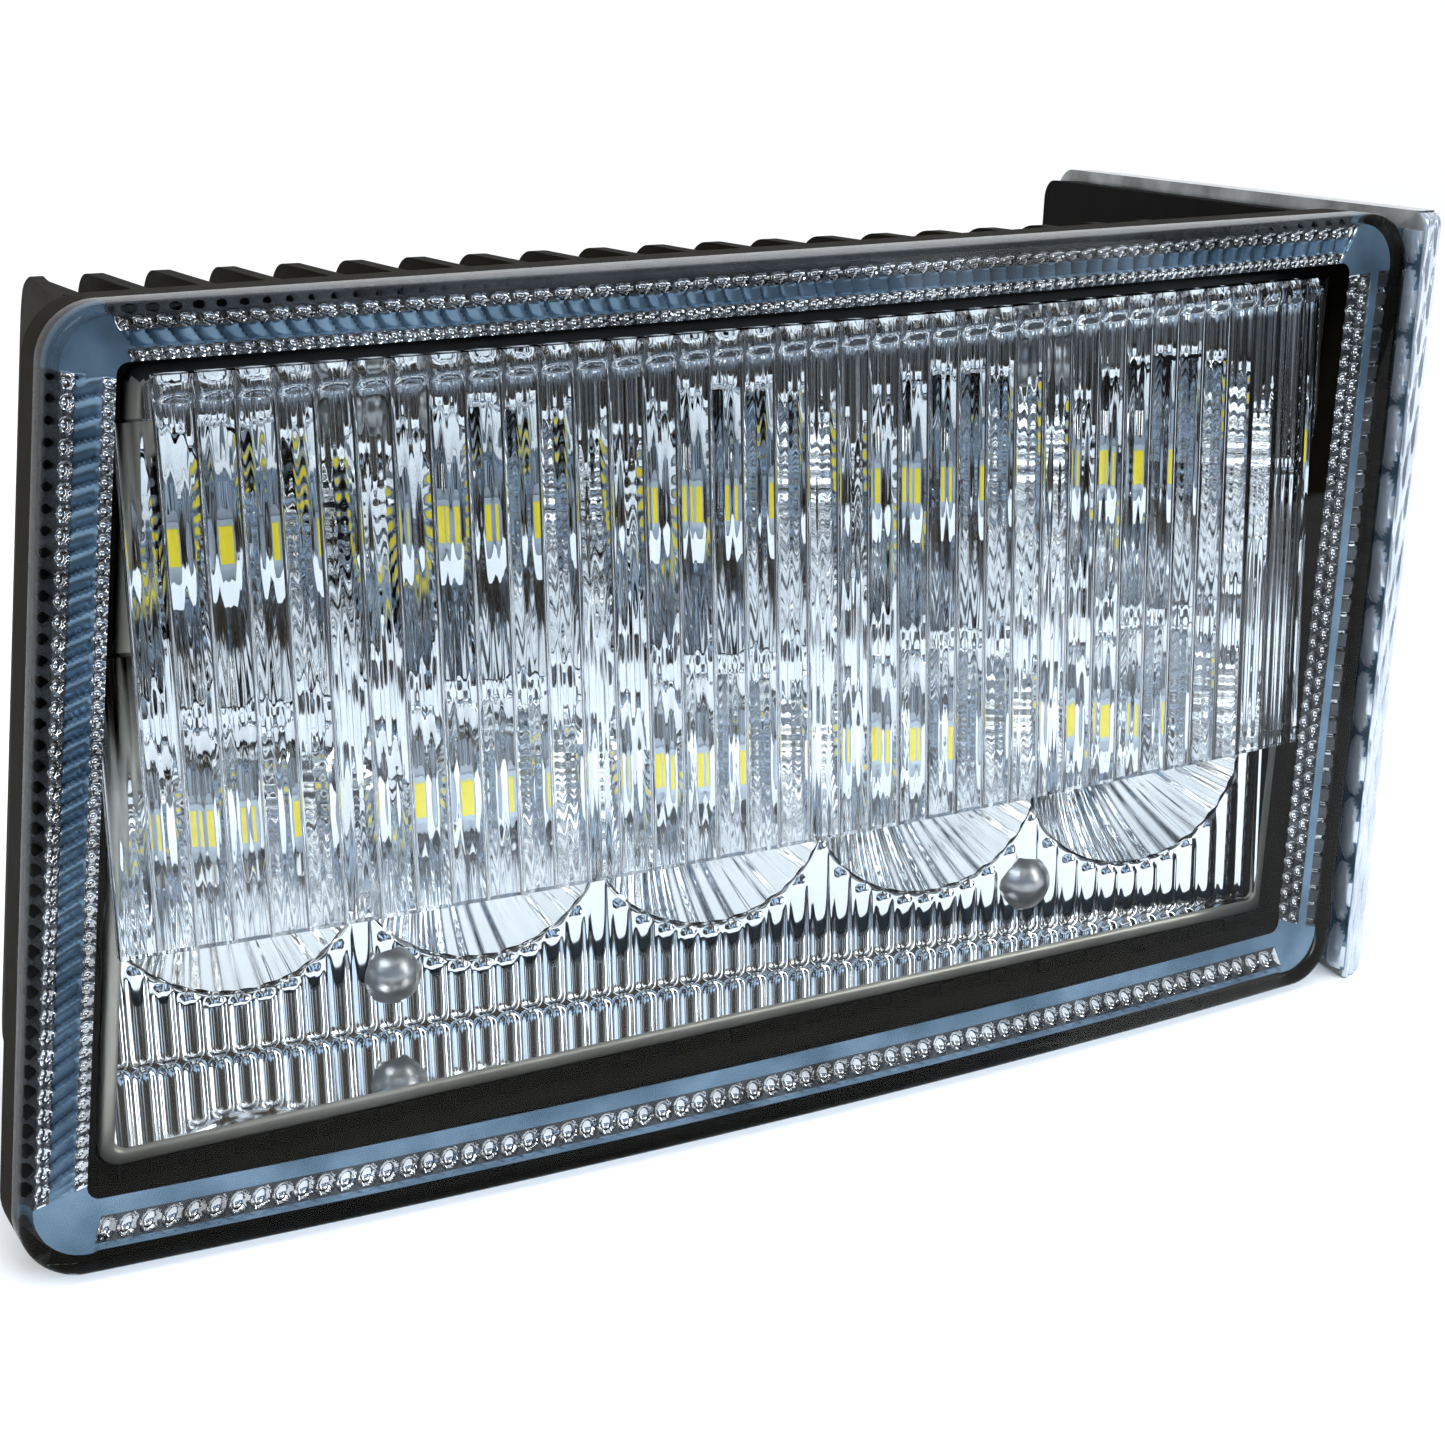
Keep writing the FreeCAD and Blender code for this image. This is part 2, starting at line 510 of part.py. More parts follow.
def make_hollows():
    """The room for the reflector and board, its mouth, the sealant groove and the driver bay."""
    inset = "dims.tub_inset + dims.tub_wall"
    step = "dims.tub_step - dims.tub_wall"
    front_room = common("front_room",
                        tub_part("room_block", inset, "dims.tub_front_z - dims.tub_wall", -120, step, "4"),
                        behind_lens("room_front", "dims.ledge_back"))
    rear_room = tub_part("rear_room", inset, "dims.tub_rear_z - dims.tub_wall", f"{step} - 1",
                         "dims.wall_front", "4")
    mouth = common("mouth", beam_prism("mouth_block", bezel_insets(-0.5), -120, -30, "3"),
                   box("mouth_slice", "lens", (-FAR, FAR),
                       ("dims.ledge_front - 1", "dims.ledge_back + 1"), (-FAR, FAR)))
    groove = ring("flange_groove", "dims.groove_outer", "dims.groove_inner", "dims.flange_front - 1",
                  "dims.groove_back")
    room_x = "dims.bay_half_x - dims.bay_wall"
    room_z = "dims.bay_half_z - dims.bay_wall"
    bay_room = box("bay_room", "beam", (f"-({room_x})", room_x), ("dims.bay_floor", 5),
                   (f"-({room_z})", room_z))
    cover_room = box("cover_room", "beam", ("-dims.bay_half_x - 0.5", "dims.bay_half_x + 0.5"),
                     ("dims.bay_back", 5), ("-dims.bay_half_z - 0.5", "dims.bay_half_z + 0.5"))
    return fuse("hollows", [front_room, rear_room, mouth, groove, bay_room, cover_room])


def make_fins():
    """Upright plates square to the lens between two slanted end plates, all round at the rear."""
    count = int((dim("right_middle") - dim("fin_first")) // dim("fin_pitch")) + 1
    plates = []
    for index in range(count):
        left = f"dims.fin_first + {index} * dims.fin_pitch - dims.fin_thick / 2"
        plates.append(box(f"fin{index}", "lens", (left, f"{left} + dims.fin_thick"),
                          ("dims.ledge_front - 1", 110), ("-dims.fin_half_height", "dims.fin_half_height")))
    outline_block = beam_prism("fin_outline", ["dims.tub_inset", "dims.tub_inset", "1"], -120, 0, "6")
    trimmed = common("fin_comb", fuse("fin_plates", plates), outline_block)
    end_inset = "dims.tub_inset + dims.fin_thick"
    ends = common("end_plates",
                  cut("end_plate_blocks", outline_block,
                      beam_prism("between_ends", [end_inset, end_inset, "-5"], -130, 10, "1")),
                  behind_lens("end_front", "dims.ledge_front - 1"))
    profile = [("-120", "-dims.fin_half_height"), ("dims.fin_back", "-dims.fin_half_height"),
               ("dims.fin_back", "dims.fin_half_height"), ("-120", "dims.fin_half_height")]
    envelope = prism("fin_envelope", "beam", "YZ_Plane", profile, -FAR, FAR, "dims.fin_corner",
                     rounded=lambda middle: middle.y > -60)
    return common("fins", fuse("fins_and_ends", [trimmed, ends]), envelope)


def make_housing_holes():
    """Everything drilled into the casting after it is hollowed."""
    board_back = "dims.board_front + dims.board_thick"
    drilled = [
        ("insert_hole", "dims.insert_radius", BOLTS, "-dims.insert_long - 1", FAR),
        ("board_hole", "dims.screw_radius", BOARD_SCREWS, board_back, 3.9),
        ("dome_hole", "dims.screw_radius", DOMES, board_back, 4.4),
        ("driver_hole", "dims.screw_radius", DRIVER_SCREWS, "dims.driver_front - 2.6", 5),
        ("cover_hole", "dims.screw_radius", COVER_SCREWS, "dims.bay_back - 7", 10),
        ("wire_hole", "dims.wire_hole", [(WIRE_X, 0)], -24, 7),
    ]
    holes = [rod(f"{name}{index}", "beam", radius, (x, front, z), length)
             for name, radius, spots, front, length in drilled
             for index, (x, z) in enumerate(spots)]
    holes += [rod(f"side_hole{index}", "side", "dims.screw_radius", (f"{PANEL_BEARING} - 7", y, z), 9)
              for index, (y, z) in enumerate(SIDE_SCREWS)]
    return fuse("housing_holes", holes)


def make_inserts():
    """Brass inserts for the mounting bolts, flush with the boss faces."""
    pieces = []
    for index, (x, z) in enumerate(BOLTS):
        blank = rod(f"insert_blank{index}", "beam", "dims.insert_radius", (x, "-dims.insert_long", z),
                    "dims.insert_long")
        pieces.append(bored(f"insert{index}", blank, "dims.insert_bore", [(x, z)],
                            "-dims.insert_long - 1", "dims.insert_long + 2"))
    return group("mounting_inserts", pieces)


def make_driver():
    """Driver board on its posts, with the parts that stand on its rear face and its screws."""
    back = "dims.driver_front + dims.driver_thick"
    blank = box("driver_blank", "beam", ("-dims.driver_half_x", "dims.driver_half_x"),
                ("dims.driver_front", back), ("-dims.driver_half_z", "dims.driver_half_z"))
    board = bored("driver_board", blank, "dims.screw_radius + 0.2", DRIVER_SCREWS,
                  "dims.driver_front - 1", 4)
    coil_blank = rod("inductor_blank", "beam", "dims.coil_radius", ("dims.coil_x", back, "dims.coil_z"),
                     "dims.coil_high")
    core = bored("driver_inductor", coil_blank, "dims.coil_hole", [("dims.coil_x", "dims.coil_z")],
                 f"{back} - 1", "dims.coil_high + 2")
    capacitors = [rod(f"capacitor{index}", "beam", "dims.can_radius", (x, back, "dims.can_z"),
                      "dims.can_high") for index, x in enumerate(CAN_PLACES)]
    chips = [box(f"chip{index}", "beam", (x, x + wide), (back, f"{back} + dims.chip_high"), (z, z + tall))
             for index, (x, z, wide, tall) in enumerate(CHIPS)]
    terminal = box("power_terminal", "beam", ("dims.terminal_x", "dims.terminal_x + dims.terminal_wide"),
                   (back, f"{back} + dims.terminal_high"),
                   ("dims.terminal_z", "dims.terminal_z + dims.terminal_tall"))
    screws_group = screws("driver_screws", "beam", [(x, back, z) for x, z in DRIVER_SCREWS], -1, 4.2)
    return [board, core, group("driver_capacitors", capacitors), group("driver_chips", chips),
            terminal, screws_group]


def make_wires():
    """Two leads through the wall, from the driver board to the back of the metal-core board."""
    back = "dims.board_front + dims.board_thick"
    leads = [rod(f"lead{index}", "beam", "dims.wire_radius", (f"{WIRE_X} + {side} * dims.wire_gap", back, 0),
                 f"dims.driver_front - ({back})") for index, side in enumerate((-1, 1))]
    return group("led_wires", leads)


def make_rear_cover():
    """Cover, its seal and its screws; the cover is bored for the cable gland and the vent."""
    plate = prism("cover_blank", "beam", "XZ_Plane", rectangle("dims.bay_half_x", "dims.bay_half_z"),
                  COVER_INNER, COVER_OUTER, "dims.bay_wall")
    drilled = bored("cover_drilled", plate, "dims.screw_radius + 0.3", COVER_SCREWS, -12, 20)
    with_gland = bored("cover_gland", drilled, "dims.gland_thread + 0.15",
                       [("dims.gland_x", "dims.gland_z")], -12, 20)
    cover = bored("rear_cover", with_gland, "dims.vent_stem + 0.15", [("dims.vent_x", "dims.gland_z")],
                  -12, 20)
    band = cut("cover_band", box("cover_band_outside", "beam", ("-dims.bay_half_x", "dims.bay_half_x"),
                                 ("dims.bay_back", COVER_INNER), ("-dims.bay_half_z", "dims.bay_half_z")),
               box("cover_band_inside", "beam",
                   ("dims.bay_wall - dims.bay_half_x", "dims.bay_half_x - dims.bay_wall"), (-10, 0),
                   ("dims.bay_wall - dims.bay_half_z", "dims.bay_half_z - dims.bay_wall")))
    eyes = [rod(f"cover_eye{index}", "beam", "dims.bay_wall", (x, "dims.bay_back", z), "dims.cover_seal")
            for index, (x, z) in enumerate(COVER_SCREWS)]
    seal = bored("rear_cover_seal", fuse("cover_seal_blank", [band] + eyes), "dims.screw_radius + 0.3",
                 COVER_SCREWS, -12, 20)
    cover_screws = screws("rear_cover_screws", "beam", [(x, COVER_OUTER, z) for x, z in COVER_SCREWS],
                          -1, 8)
    return [cover, seal, cover_screws]


def make_gland():
    """Cable gland in the cover: body, lock nut inside, rubber seal and dome nut, all open through."""
    spot = [("dims.gland_x", "dims.gland_z")]
    x, z = spot[0]
    hex_back = f"{COVER_OUTER} + dims.gland_hex"
    nut_front = f"{COVER_OUTER} + dims.nut_start"
    solid = fuse("gland_solid", [
        hexagon("gland_hexagon", "dims.gland_flats", x, z, COVER_OUTER, hex_back),
        rod("gland_shank", "beam", "dims.gland_thread", (x, f"{COVER_INNER} - 5", z), 14),
        rod("gland_collar", "beam", "dims.gland_thread + 0.4", (x, f"{hex_back} - 1", z), 7)])
    sleeve = "dims.cord_bore + dims.grommet_wall"
    body = bored("gland_body", solid, sleeve, spot, -20, 40)
    lock_blank = hexagon("locknut_blank", "dims.gland_flats", x, z,
                         f"{COVER_INNER} - dims.locknut_thick", COVER_INNER)
    lock = bored("gland_locknut", lock_blank, "dims.gland_thread", spot, -20, 40)
    grommet_blank = rod("gland_seal_blank", "beam", sleeve, (x, f"{COVER_OUTER} + dims.grommet_start", z),
                        "dims.grommet_long")
    grommet = bored("gland_seal", grommet_blank, "dims.cord_bore", spot, -20, 40)
    shell = hexagon("nut_blank", "dims.nut_flats", x, z, nut_front, f"{nut_front} + dims.nut_long")
    dome = doc.addObject("Part::Cone", "nut_taper")
    dome.setExpression("Radius1", "dims.nut_flats / 2 / cos(30) + 4")
    dome.setExpression("Radius2", "dims.nut_flats / 2 - 1.5")
    dome.setExpression("Height", "dims.nut_long")
    place(dome, "beam", x, nut_front, z, turn="to_rear")
    threaded = bored("nut_threaded", common("nut_outside", shell, dome), "dims.gland_thread + 0.4", spot,
                     f"{nut_front} - 0.3", 6)
    nut = bored("gland_nut", threaded, "dims.cord_bore + 0.3", spot, -20, 60)
    return [body, lock, grommet, nut]


def make_vent():
    """Pressure vent in the cover, with the membrane on its inner end."""
    spot = [("dims.vent_x", "dims.gland_z")]
    x, z = spot[0]
    inner_end = f"({COVER_OUTER} - dims.vent_stem_long)"
    solid = fuse("vent_solid", [
        rod("vent_cap_disc", "beam", "dims.vent_cap", (x, COVER_OUTER, z), "dims.vent_cap_thick"),
        rod("vent_stem_rod", "beam", "dims.vent_stem", (x, inner_end, z), "dims.vent_stem_long + 0.5")])
    plug = bored("vent_plug", solid, "dims.vent_bore", spot, -20, 40)
    film = rod("vent_membrane", "beam", "dims.vent_stem", (x, f"{inner_end} - dims.membrane_thick", z),
               "dims.membrane_thick")
    return [plug, film]


def side_outline(inset, front):
    """Corners of the side plate's outline in its own plane, as (y, z) pairs."""
    low = f"dims.side_bottom + {inset}"
    high = f"dims.side_top - {inset}"
    back = f"dims.side_back - {inset}"
    return [(front, low), (back, low), (back, high), (front, high)]


def slant_front_edge(body):
    """Cut the front edge of the clear side plate back towards its outer face."""
    doc.recompute()
    base = body.Tip
    edges = [f"Edge{index}" for index, edge in enumerate(base.Shape.Edges, start=1)
             if abs(edge.CenterOfMass.x - dim("side_thick")) < 0.01
             and abs(edge.CenterOfMass.y - dim("side_front")) < 0.01]
    slant = body.newObject("PartDesign::Chamfer", f"{body.Name}_slant")
    slant.Base = (base, edges)
    slant.ChamferType = "Two distances"
    slant.setExpression("Size", "dims.side_slant_wide")
    slant.setExpression("Size2", "dims.side_slant_deep")


def make_side_plate():
    """Clear side plate, the black panel behind it, the bond between them and the panel's screws."""
    def at_rear(middle):
        return middle.y > 0

    outer = "(-dims.bond_thick)"
    clear = prism("side_lens", "side", "YZ_Plane", side_outline("0", "dims.side_front"),
                  0, "dims.side_thick", "dims.side_corner",
                  rounded=at_rear)
    slant_front_edge(clear)
    blank = prism("panel_blank", "side", "YZ_Plane", side_outline("dims.panel_inset", "dims.panel_front"),
                  PANEL_BEARING, outer, "dims.side_corner - dims.panel_inset", rounded=at_rear)
    bond_out = prism("bond_outside", "side", "YZ_Plane",
                     side_outline("dims.panel_inset", "dims.panel_front"), outer, 0,
                     "dims.side_corner - dims.panel_inset", rounded=at_rear)
    bond_in = prism("bond_inside", "side", "YZ_Plane",
                    side_outline("dims.panel_inset + dims.bond_wide", "dims.panel_front + dims.bond_wide"),
                    outer, 0)
    bond = cut("side_lens_bond", bond_out, bond_in)
    bearing = f"({outer} - dims.screw_head_thick - 0.1)"
    drills = [rod(f"panel_drill{index}", "side", "dims.screw_radius + 0.3",
                  (f"{PANEL_BEARING} - 1", y, z), 8) for index, (y, z) in enumerate(SIDE_SCREWS)]
    drills += [rod(f"panel_sink{index}", "side", "dims.screw_head + 0.2", (bearing, y, z), 6)
               for index, (y, z) in enumerate(SIDE_SCREWS)]
    panel = cut("side_panel", blank, fuse("panel_drills", drills))
    panel_screws = screws("side_panel_screws", "side", [(bearing, y, z) for y, z in SIDE_SCREWS], -1, 8)
    return [clear, panel, bond, panel_screws]


def make_all():
    board_screws = screws("board_screws", "beam", [(x, "dims.board_front", z) for x, z in BOARD_SCREWS],
                          1, 5.5)
    pieces = [make_housing(), make_front_lens(), make_lens_seal(), make_inner_lens(), make_reflector(),
              make_reflector_screws(), board_screws, make_wires(), make_inserts()]
    for made in (make_board_stack(), make_driver(), make_rear_cover(), make_gland(), make_vent(),
                 make_side_plate()):
        pieces.extend(made)
    return pieces


def check_document():
    """Stop on any object that failed to compute."""
    failed = [item.Name for item in doc.Objects
              if any(word in state for state in item.State for word in ("Invalid", "Error"))]
    if failed:
        raise RuntimeError("objects that failed: " + ", ".join(failed))


def write_parts(pieces):
    os.makedirs("parts", exist_ok=True)
    for piece in pieces:
        shape = piece.Shape
        if shape.isNull() or not shape.isValid():
            raise RuntimeError(f"{piece.Name} has no valid shape")
        if piece.Label != piece.Name:
            raise RuntimeError(f"{piece.Name} lost its label")
        shape.exportStep(f"parts/{piece.Label}.step")
        print(piece.Label, len(shape.Solids), "solid(s)", round(shape.Volume), "mm3")


sub_parts = make_all()
doc.recompute()
check_document()
write_parts(sub_parts)
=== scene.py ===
import math

import bpy
from mathutils import Matrix, Vector


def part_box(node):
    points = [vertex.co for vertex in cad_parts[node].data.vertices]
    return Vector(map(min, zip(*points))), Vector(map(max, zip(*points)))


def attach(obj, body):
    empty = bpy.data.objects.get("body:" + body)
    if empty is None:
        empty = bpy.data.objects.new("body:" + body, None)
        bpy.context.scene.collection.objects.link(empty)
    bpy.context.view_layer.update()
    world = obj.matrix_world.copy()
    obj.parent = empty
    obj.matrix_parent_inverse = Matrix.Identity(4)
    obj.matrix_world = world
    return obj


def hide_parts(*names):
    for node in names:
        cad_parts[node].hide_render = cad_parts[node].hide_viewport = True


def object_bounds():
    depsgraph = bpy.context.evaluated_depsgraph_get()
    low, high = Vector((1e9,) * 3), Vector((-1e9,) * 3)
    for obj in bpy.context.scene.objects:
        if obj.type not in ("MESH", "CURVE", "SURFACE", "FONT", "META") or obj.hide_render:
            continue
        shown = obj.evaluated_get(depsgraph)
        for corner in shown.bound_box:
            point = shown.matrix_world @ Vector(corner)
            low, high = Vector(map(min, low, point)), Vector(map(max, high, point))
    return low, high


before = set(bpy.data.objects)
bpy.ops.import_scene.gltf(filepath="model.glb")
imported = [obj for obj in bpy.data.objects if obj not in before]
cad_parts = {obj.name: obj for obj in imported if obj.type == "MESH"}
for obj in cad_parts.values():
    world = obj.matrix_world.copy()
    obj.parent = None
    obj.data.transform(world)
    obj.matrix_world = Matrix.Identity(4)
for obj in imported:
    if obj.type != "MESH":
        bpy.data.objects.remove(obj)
cad_low, cad_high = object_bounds()

# Sizes are in millimetres in the CAD model's frame, and are turned into metres where a mesh is made.
MM = 0.001

# The lens: the sweep of its chord, the bow of its face, its slanted ends and its rounded corners.
SWEEP = math.radians(7.7)
CHORD_Y = -74.3
BOW_RADIUS = 1490.0
BOW_HEIGHT = 5.5
BOW_MIDDLE = 2.65
LEFT_MIDDLE, LEFT_SLOPE = -125.6, 0.1187
RIGHT_MIDDLE, RIGHT_SLOPE = 130.9, 0.082
CORNER = 9.5


def in_mm(node):
    """Lowest and highest corner of a CAD node, in millimetres."""
    low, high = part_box(node)
    return low / MM, high / MM


HALF_HEIGHT = in_mm("front_lens")[1].z


def lens_point(u, v, z):
    """A point of the lens frame: u along its chord, v back from the chord plane."""
    return Vector((u * math.cos(SWEEP) - v * math.sin(SWEEP),
                   CHORD_Y + u * math.sin(SWEEP) + v * math.cos(SWEEP), z))


def face_depth(u):
    """How far back the bowed outer face of the lens is at u."""
    return BOW_RADIUS - BOW_HEIGHT - math.sqrt(BOW_RADIUS ** 2 - (u - BOW_MIDDLE) ** 2)


def lens_plane_y(x, v):
    """The y of the plane at depth v behind the lens chord, above a given x."""
    return CHORD_Y + (x + v * math.sin(SWEEP)) * math.tan(SWEEP) + v * math.cos(SWEEP)


def smooth_step(value):
    value = min(1.0, max(0.0, value))
    return value * value * (3 - 2 * value)


# ---------------------------------------------------------------- materials

def new_material(name):
    material = bpy.data.materials.new(name)
    material.use_nodes = True
    tree = material.node_tree
    return material, tree, tree.nodes["Principled BSDF"]


def noise(tree, scale, detail=4.0):
    """A noise texture on object coordinates, in metres."""
    place = tree.nodes.new("ShaderNodeTexCoord")
    texture = tree.nodes.new("ShaderNodeTexNoise")
    texture.inputs["Scale"].default_value = scale
    texture.inputs["Detail"].default_value = detail
    tree.links.new(place.outputs["Object"], texture.inputs["Vector"])
    return texture.outputs["Fac"]


def ramp(tree, source, stops):
    """A colour ramp over a value; stops are (position, colour)."""
    node = tree.nodes.new("ShaderNodeValToRGB")
    points = node.color_ramp.elements
    for index, (position, colour) in enumerate(stops):
        point = points[index] if index < 2 else points.new(position)
        point.position = position
        point.color = (*colour, 1.0)
    tree.links.new(source, node.inputs["Fac"])
    return node.outputs["Color"]


def spread(tree, source, low, high):
    """A value from 0 to 1 mapped to low to high."""
    node = tree.nodes.new("ShaderNodeMapRange")
    node.inputs["To Min"].default_value = low
    node.inputs["To Max"].default_value = high
    tree.links.new(source, node.inputs["Value"])
    return node.outputs["Result"]


def bump(tree, shader, source, distance, strength=1.0):
    node = tree.nodes.new("ShaderNodeBump")
    node.inputs["Distance"].default_value = distance
    node.inputs["Strength"].default_value = strength
    tree.links.new(source, node.inputs["Height"])
    tree.links.new(node.outputs["Normal"], shader.inputs["Normal"])


def surfaced(name, dark, light, rough, metallic=0.0, grain=900.0, depth=0.00002, shine=0.5):
    """A general finish: colour that varies a little, uneven roughness and a fine grain."""
    material, tree, shader = new_material(name)
    patches = noise(tree, grain / 18)
    tree.links.new(ramp(tree, patches, [(0.35, dark), (0.65, light)]), shader.inputs["Base Color"])
    tree.links.new(spread(tree, patches, rough[0], rough[1]), shader.inputs["Roughness"])
    shader.inputs["Metallic"].default_value = metallic
    shader.inputs["Specular IOR Level"].default_value = shine
    bump(tree, shader, noise(tree, grain), depth)
    return material


def clear_plastic(name, tint, rough, haze_scale, bend=1.5):
    """Clear polycarbonate that lets lamp light through to what is behind it."""
    material, tree, shader = new_material(name)
    shader.inputs["Base Color"].default_value = (*tint, 1.0)
    shader.inputs["IOR"].default_value = bend
    shader.inputs["Transmission Weight"].default_value = 1.0
    patches = noise(tree, haze_scale)
    tree.links.new(spread(tree, patches, rough[0], rough[1]), shader.inputs["Roughness"])
    clear = tree.nodes.new("ShaderNodeBsdfTransparent")
    clear.inputs["Color"].default_value = (*tint, 1.0)
    rays = tree.nodes.new("ShaderNodeLightPath")
    mix = tree.nodes.new("ShaderNodeMixShader")
    tree.links.new(rays.outputs["Is Shadow Ray"], mix.inputs["Fac"])
    tree.links.new(shader.outputs["BSDF"], mix.inputs[1])
    tree.links.new(clear.outputs["BSDF"], mix.inputs[2])
    tree.links.new(mix.outputs["Shader"], tree.nodes["Material Output"].inputs["Surface"])
    return material


# A colour with emission of its own: painted light, for a part that is not lit in this scene.
def glowing(name, colour, strength, rough):
    material, tree, shader = new_material(name)
    patches = noise(tree, 700.0)
    tree.links.new(ramp(tree, patches, [(0.3, [0.9 * part for part in colour]), (0.7, colour)]),
                   shader.inputs["Base Color"])
    shader.inputs["Roughness"].default_value = rough
    shader.inputs["Emission Color"].default_value = (*colour, 1.0)
    shader.inputs["Emission Strength"].default_value = strength
    return material


def painted_prism_reflection(name, shade, light, metallic, rough=(0.1, 0.2)):
    """An opaque mirror back standing in for clear moulded prisms, which throw light back out as a mirror
    does; its tint is a painted reflection.
    """
    material, tree, shader = new_material(name)
    patches = noise(tree, 90.0)
    tree.links.new(ramp(tree, patches, [(0.35, shade), (0.65, light)]), shader.inputs["Base Color"])
    shader.inputs["Metallic"].default_value = metallic
    tree.links.new(spread(tree, patches, rough[0], rough[1]), shader.inputs["Roughness"])
    return material


# Painted reflection: a blue-grey tint on the border's smooth band and between the side plate's facets,
# standing in for the sky that clear prisms throw back.
BAND_PAINTED_REFLECTION = painted_prism_reflection("band_painted_reflection", (0.10, 0.155, 0.21), (0.19, 0.27, 0.35), 0.55)
# Painted reflection: grey on the side plate's clear top edge and inner face, as they look with the room
# reflected in them.
EDGE_PAINTED_REFLECTION = painted_prism_reflection("edge_painted_reflection", (0.13, 0.13, 0.125), (0.30, 0.31, 0.31), 0.2)
# A real mirror on the beads' backs, standing in for the clear beads; its pale tint is painted reflection.
BEAD_PAINTED_REFLECTION = painted_prism_reflection("bead_painted_reflection", (0.55, 0.54, 0.53), (0.80, 0.81, 0.82), 1.0, (0.02, 0.06))
# Painted shade: near black on the clear ground between the border's beads and rungs.
BEAD_GROUND_PAINTED_SHADE = painted_prism_reflection("bead_ground_painted_shade", (0.035, 0.037, 0.04), (0.085, 0.09, 0.095), 0.4)
# Painted glints: a pale blue-grey on the side plate's clear facets, where highlights fall.
FACET_PAINTED_GLINT = painted_prism_reflection("facet_painted_glint", (0.50, 0.55, 0.62), (0.68, 0.74, 0.82), 0.7)
LENS_CLEAR = clear_plastic("lens_clear", (0.93, 0.965, 1.0), (0.0, 0.02), 60.0, 1.18)
PLATE_CLEAR = clear_plastic("plate_clear", (0.97, 0.985, 1.0), (0.0, 0.015), 60.0)
SIDE_CLEAR = clear_plastic("side_clear", (0.93, 0.96, 0.99), (0.01, 0.05), 60.0)
CHROME = surfaced("vacuum_chrome", (0.83, 0.83, 0.82), (0.9, 0.9, 0.89), (0.03, 0.07), 1.0, 300.0, 0.0)
POWDER = surfaced("powder_coat", (0.0105, 0.008, 0.0045), (0.0135, 0.0105, 0.006), (0.55, 0.7), 0.0,
                  5200.0, 0.00002, 0.05)
PANEL_BLACK = surfaced("panel_black", (0.005, 0.0045, 0.004), (0.009, 0.008, 0.007), (0.5, 0.65), 0.0,
                       1800.0, 0.00003, 0.04)
LIP_SILVER = surfaced("lip_silver", (0.34, 0.31, 0.255), (0.44, 0.405, 0.34), (0.28, 0.4), 0.6, 900.0,
                      0.00001)
STEEL = surfaced("zinc_steel", (0.5, 0.5, 0.49), (0.62, 0.62, 0.6), (0.25, 0.4), 1.0, 1200.0, 0.00001)
DOME_CHROME = surfaced("dome_chrome", (0.42, 0.41, 0.39), (0.52, 0.51, 0.49), (0.26, 0.34), 1.0,
                       700.0, 0.0)
MASK_WHITE = surfaced("mask_white", (0.74, 0.79, 0.84), (0.8, 0.85, 0.9), (0.4, 0.5), 0.0, 900.0,
                      0.00001)
LED_BODY = surfaced("led_body", (0.72, 0.8, 0.88), (0.8, 0.88, 0.95), (0.25, 0.35), 0.0, 900.0, 0.0)
# Painted light: the LEDs are off, and a faint glow keeps their yellow phosphor bright behind the clear
# covers.
PHOSPHOR_PAINTED_GLOW = glowing("phosphor", (0.86, 0.72, 0.05), 0.35, 0.5)
# Black sealant for the seals and bonds; on the bezel's upper lip the same black is painted shade.
SEALANT_AND_LIP_SHADE = surfaced("sealant", (0.012, 0.012, 0.012), (0.02, 0.02, 0.02), (0.5, 0.65), 0.0, 700.0,
                   0.00005)
RUBBER = surfaced("rubber", (0.014, 0.014, 0.014), (0.022, 0.022, 0.022), (0.7, 0.8), 0.0, 1500.0,
                  0.00004)
PAD_GREY = surfaced("pad_grey", (0.35, 0.39, 0.43), (0.42, 0.46, 0.5), (0.7, 0.8), 0.0, 900.0,
                    0.00003)
BOARD_GREEN = surfaced("board_green", (0.012, 0.08, 0.035), (0.02, 0.12, 0.05), (0.25, 0.35), 0.0,
                       500.0, 0.00001)
MOULDED = surfaced("moulded_black", (0.015, 0.015, 0.017), (0.024, 0.024, 0.026), (0.4, 0.55), 0.0,
                   1500.0, 0.00002)
CAN = surfaced("capacitor_can", (0.6, 0.6, 0.6), (0.7, 0.7, 0.7), (0.3, 0.4), 1.0, 1000.0, 0.00001)
TERMINAL_GREEN = surfaced("terminal_green", (0.02, 0.13, 0.05), (0.03, 0.17, 0.07), (0.35, 0.45),
                          0.0, 900.0, 0.00001)
WIRE_RED = surfaced("wire_red", (0.35, 0.015, 0.012), (0.42, 0.02, 0.016), (0.35, 0.45), 0.0,
                    900.0, 0.0)
NYLON = surfaced("nylon_black", (0.01, 0.01, 0.01), (0.017, 0.017, 0.017), (0.4, 0.5), 0.0, 1200.0,
                 0.00004)
MEMBRANE = surfaced("membrane_white", (0.72, 0.72, 0.72), (0.8, 0.8, 0.8), (0.8, 0.9), 0.0, 2500.0,
                    0.00003)
BRASS = surfaced("turned_brass", (0.6, 0.42, 0.17), (0.7, 0.52, 0.24), (0.22, 0.35), 1.0, 1500.0,
                 0.00001)

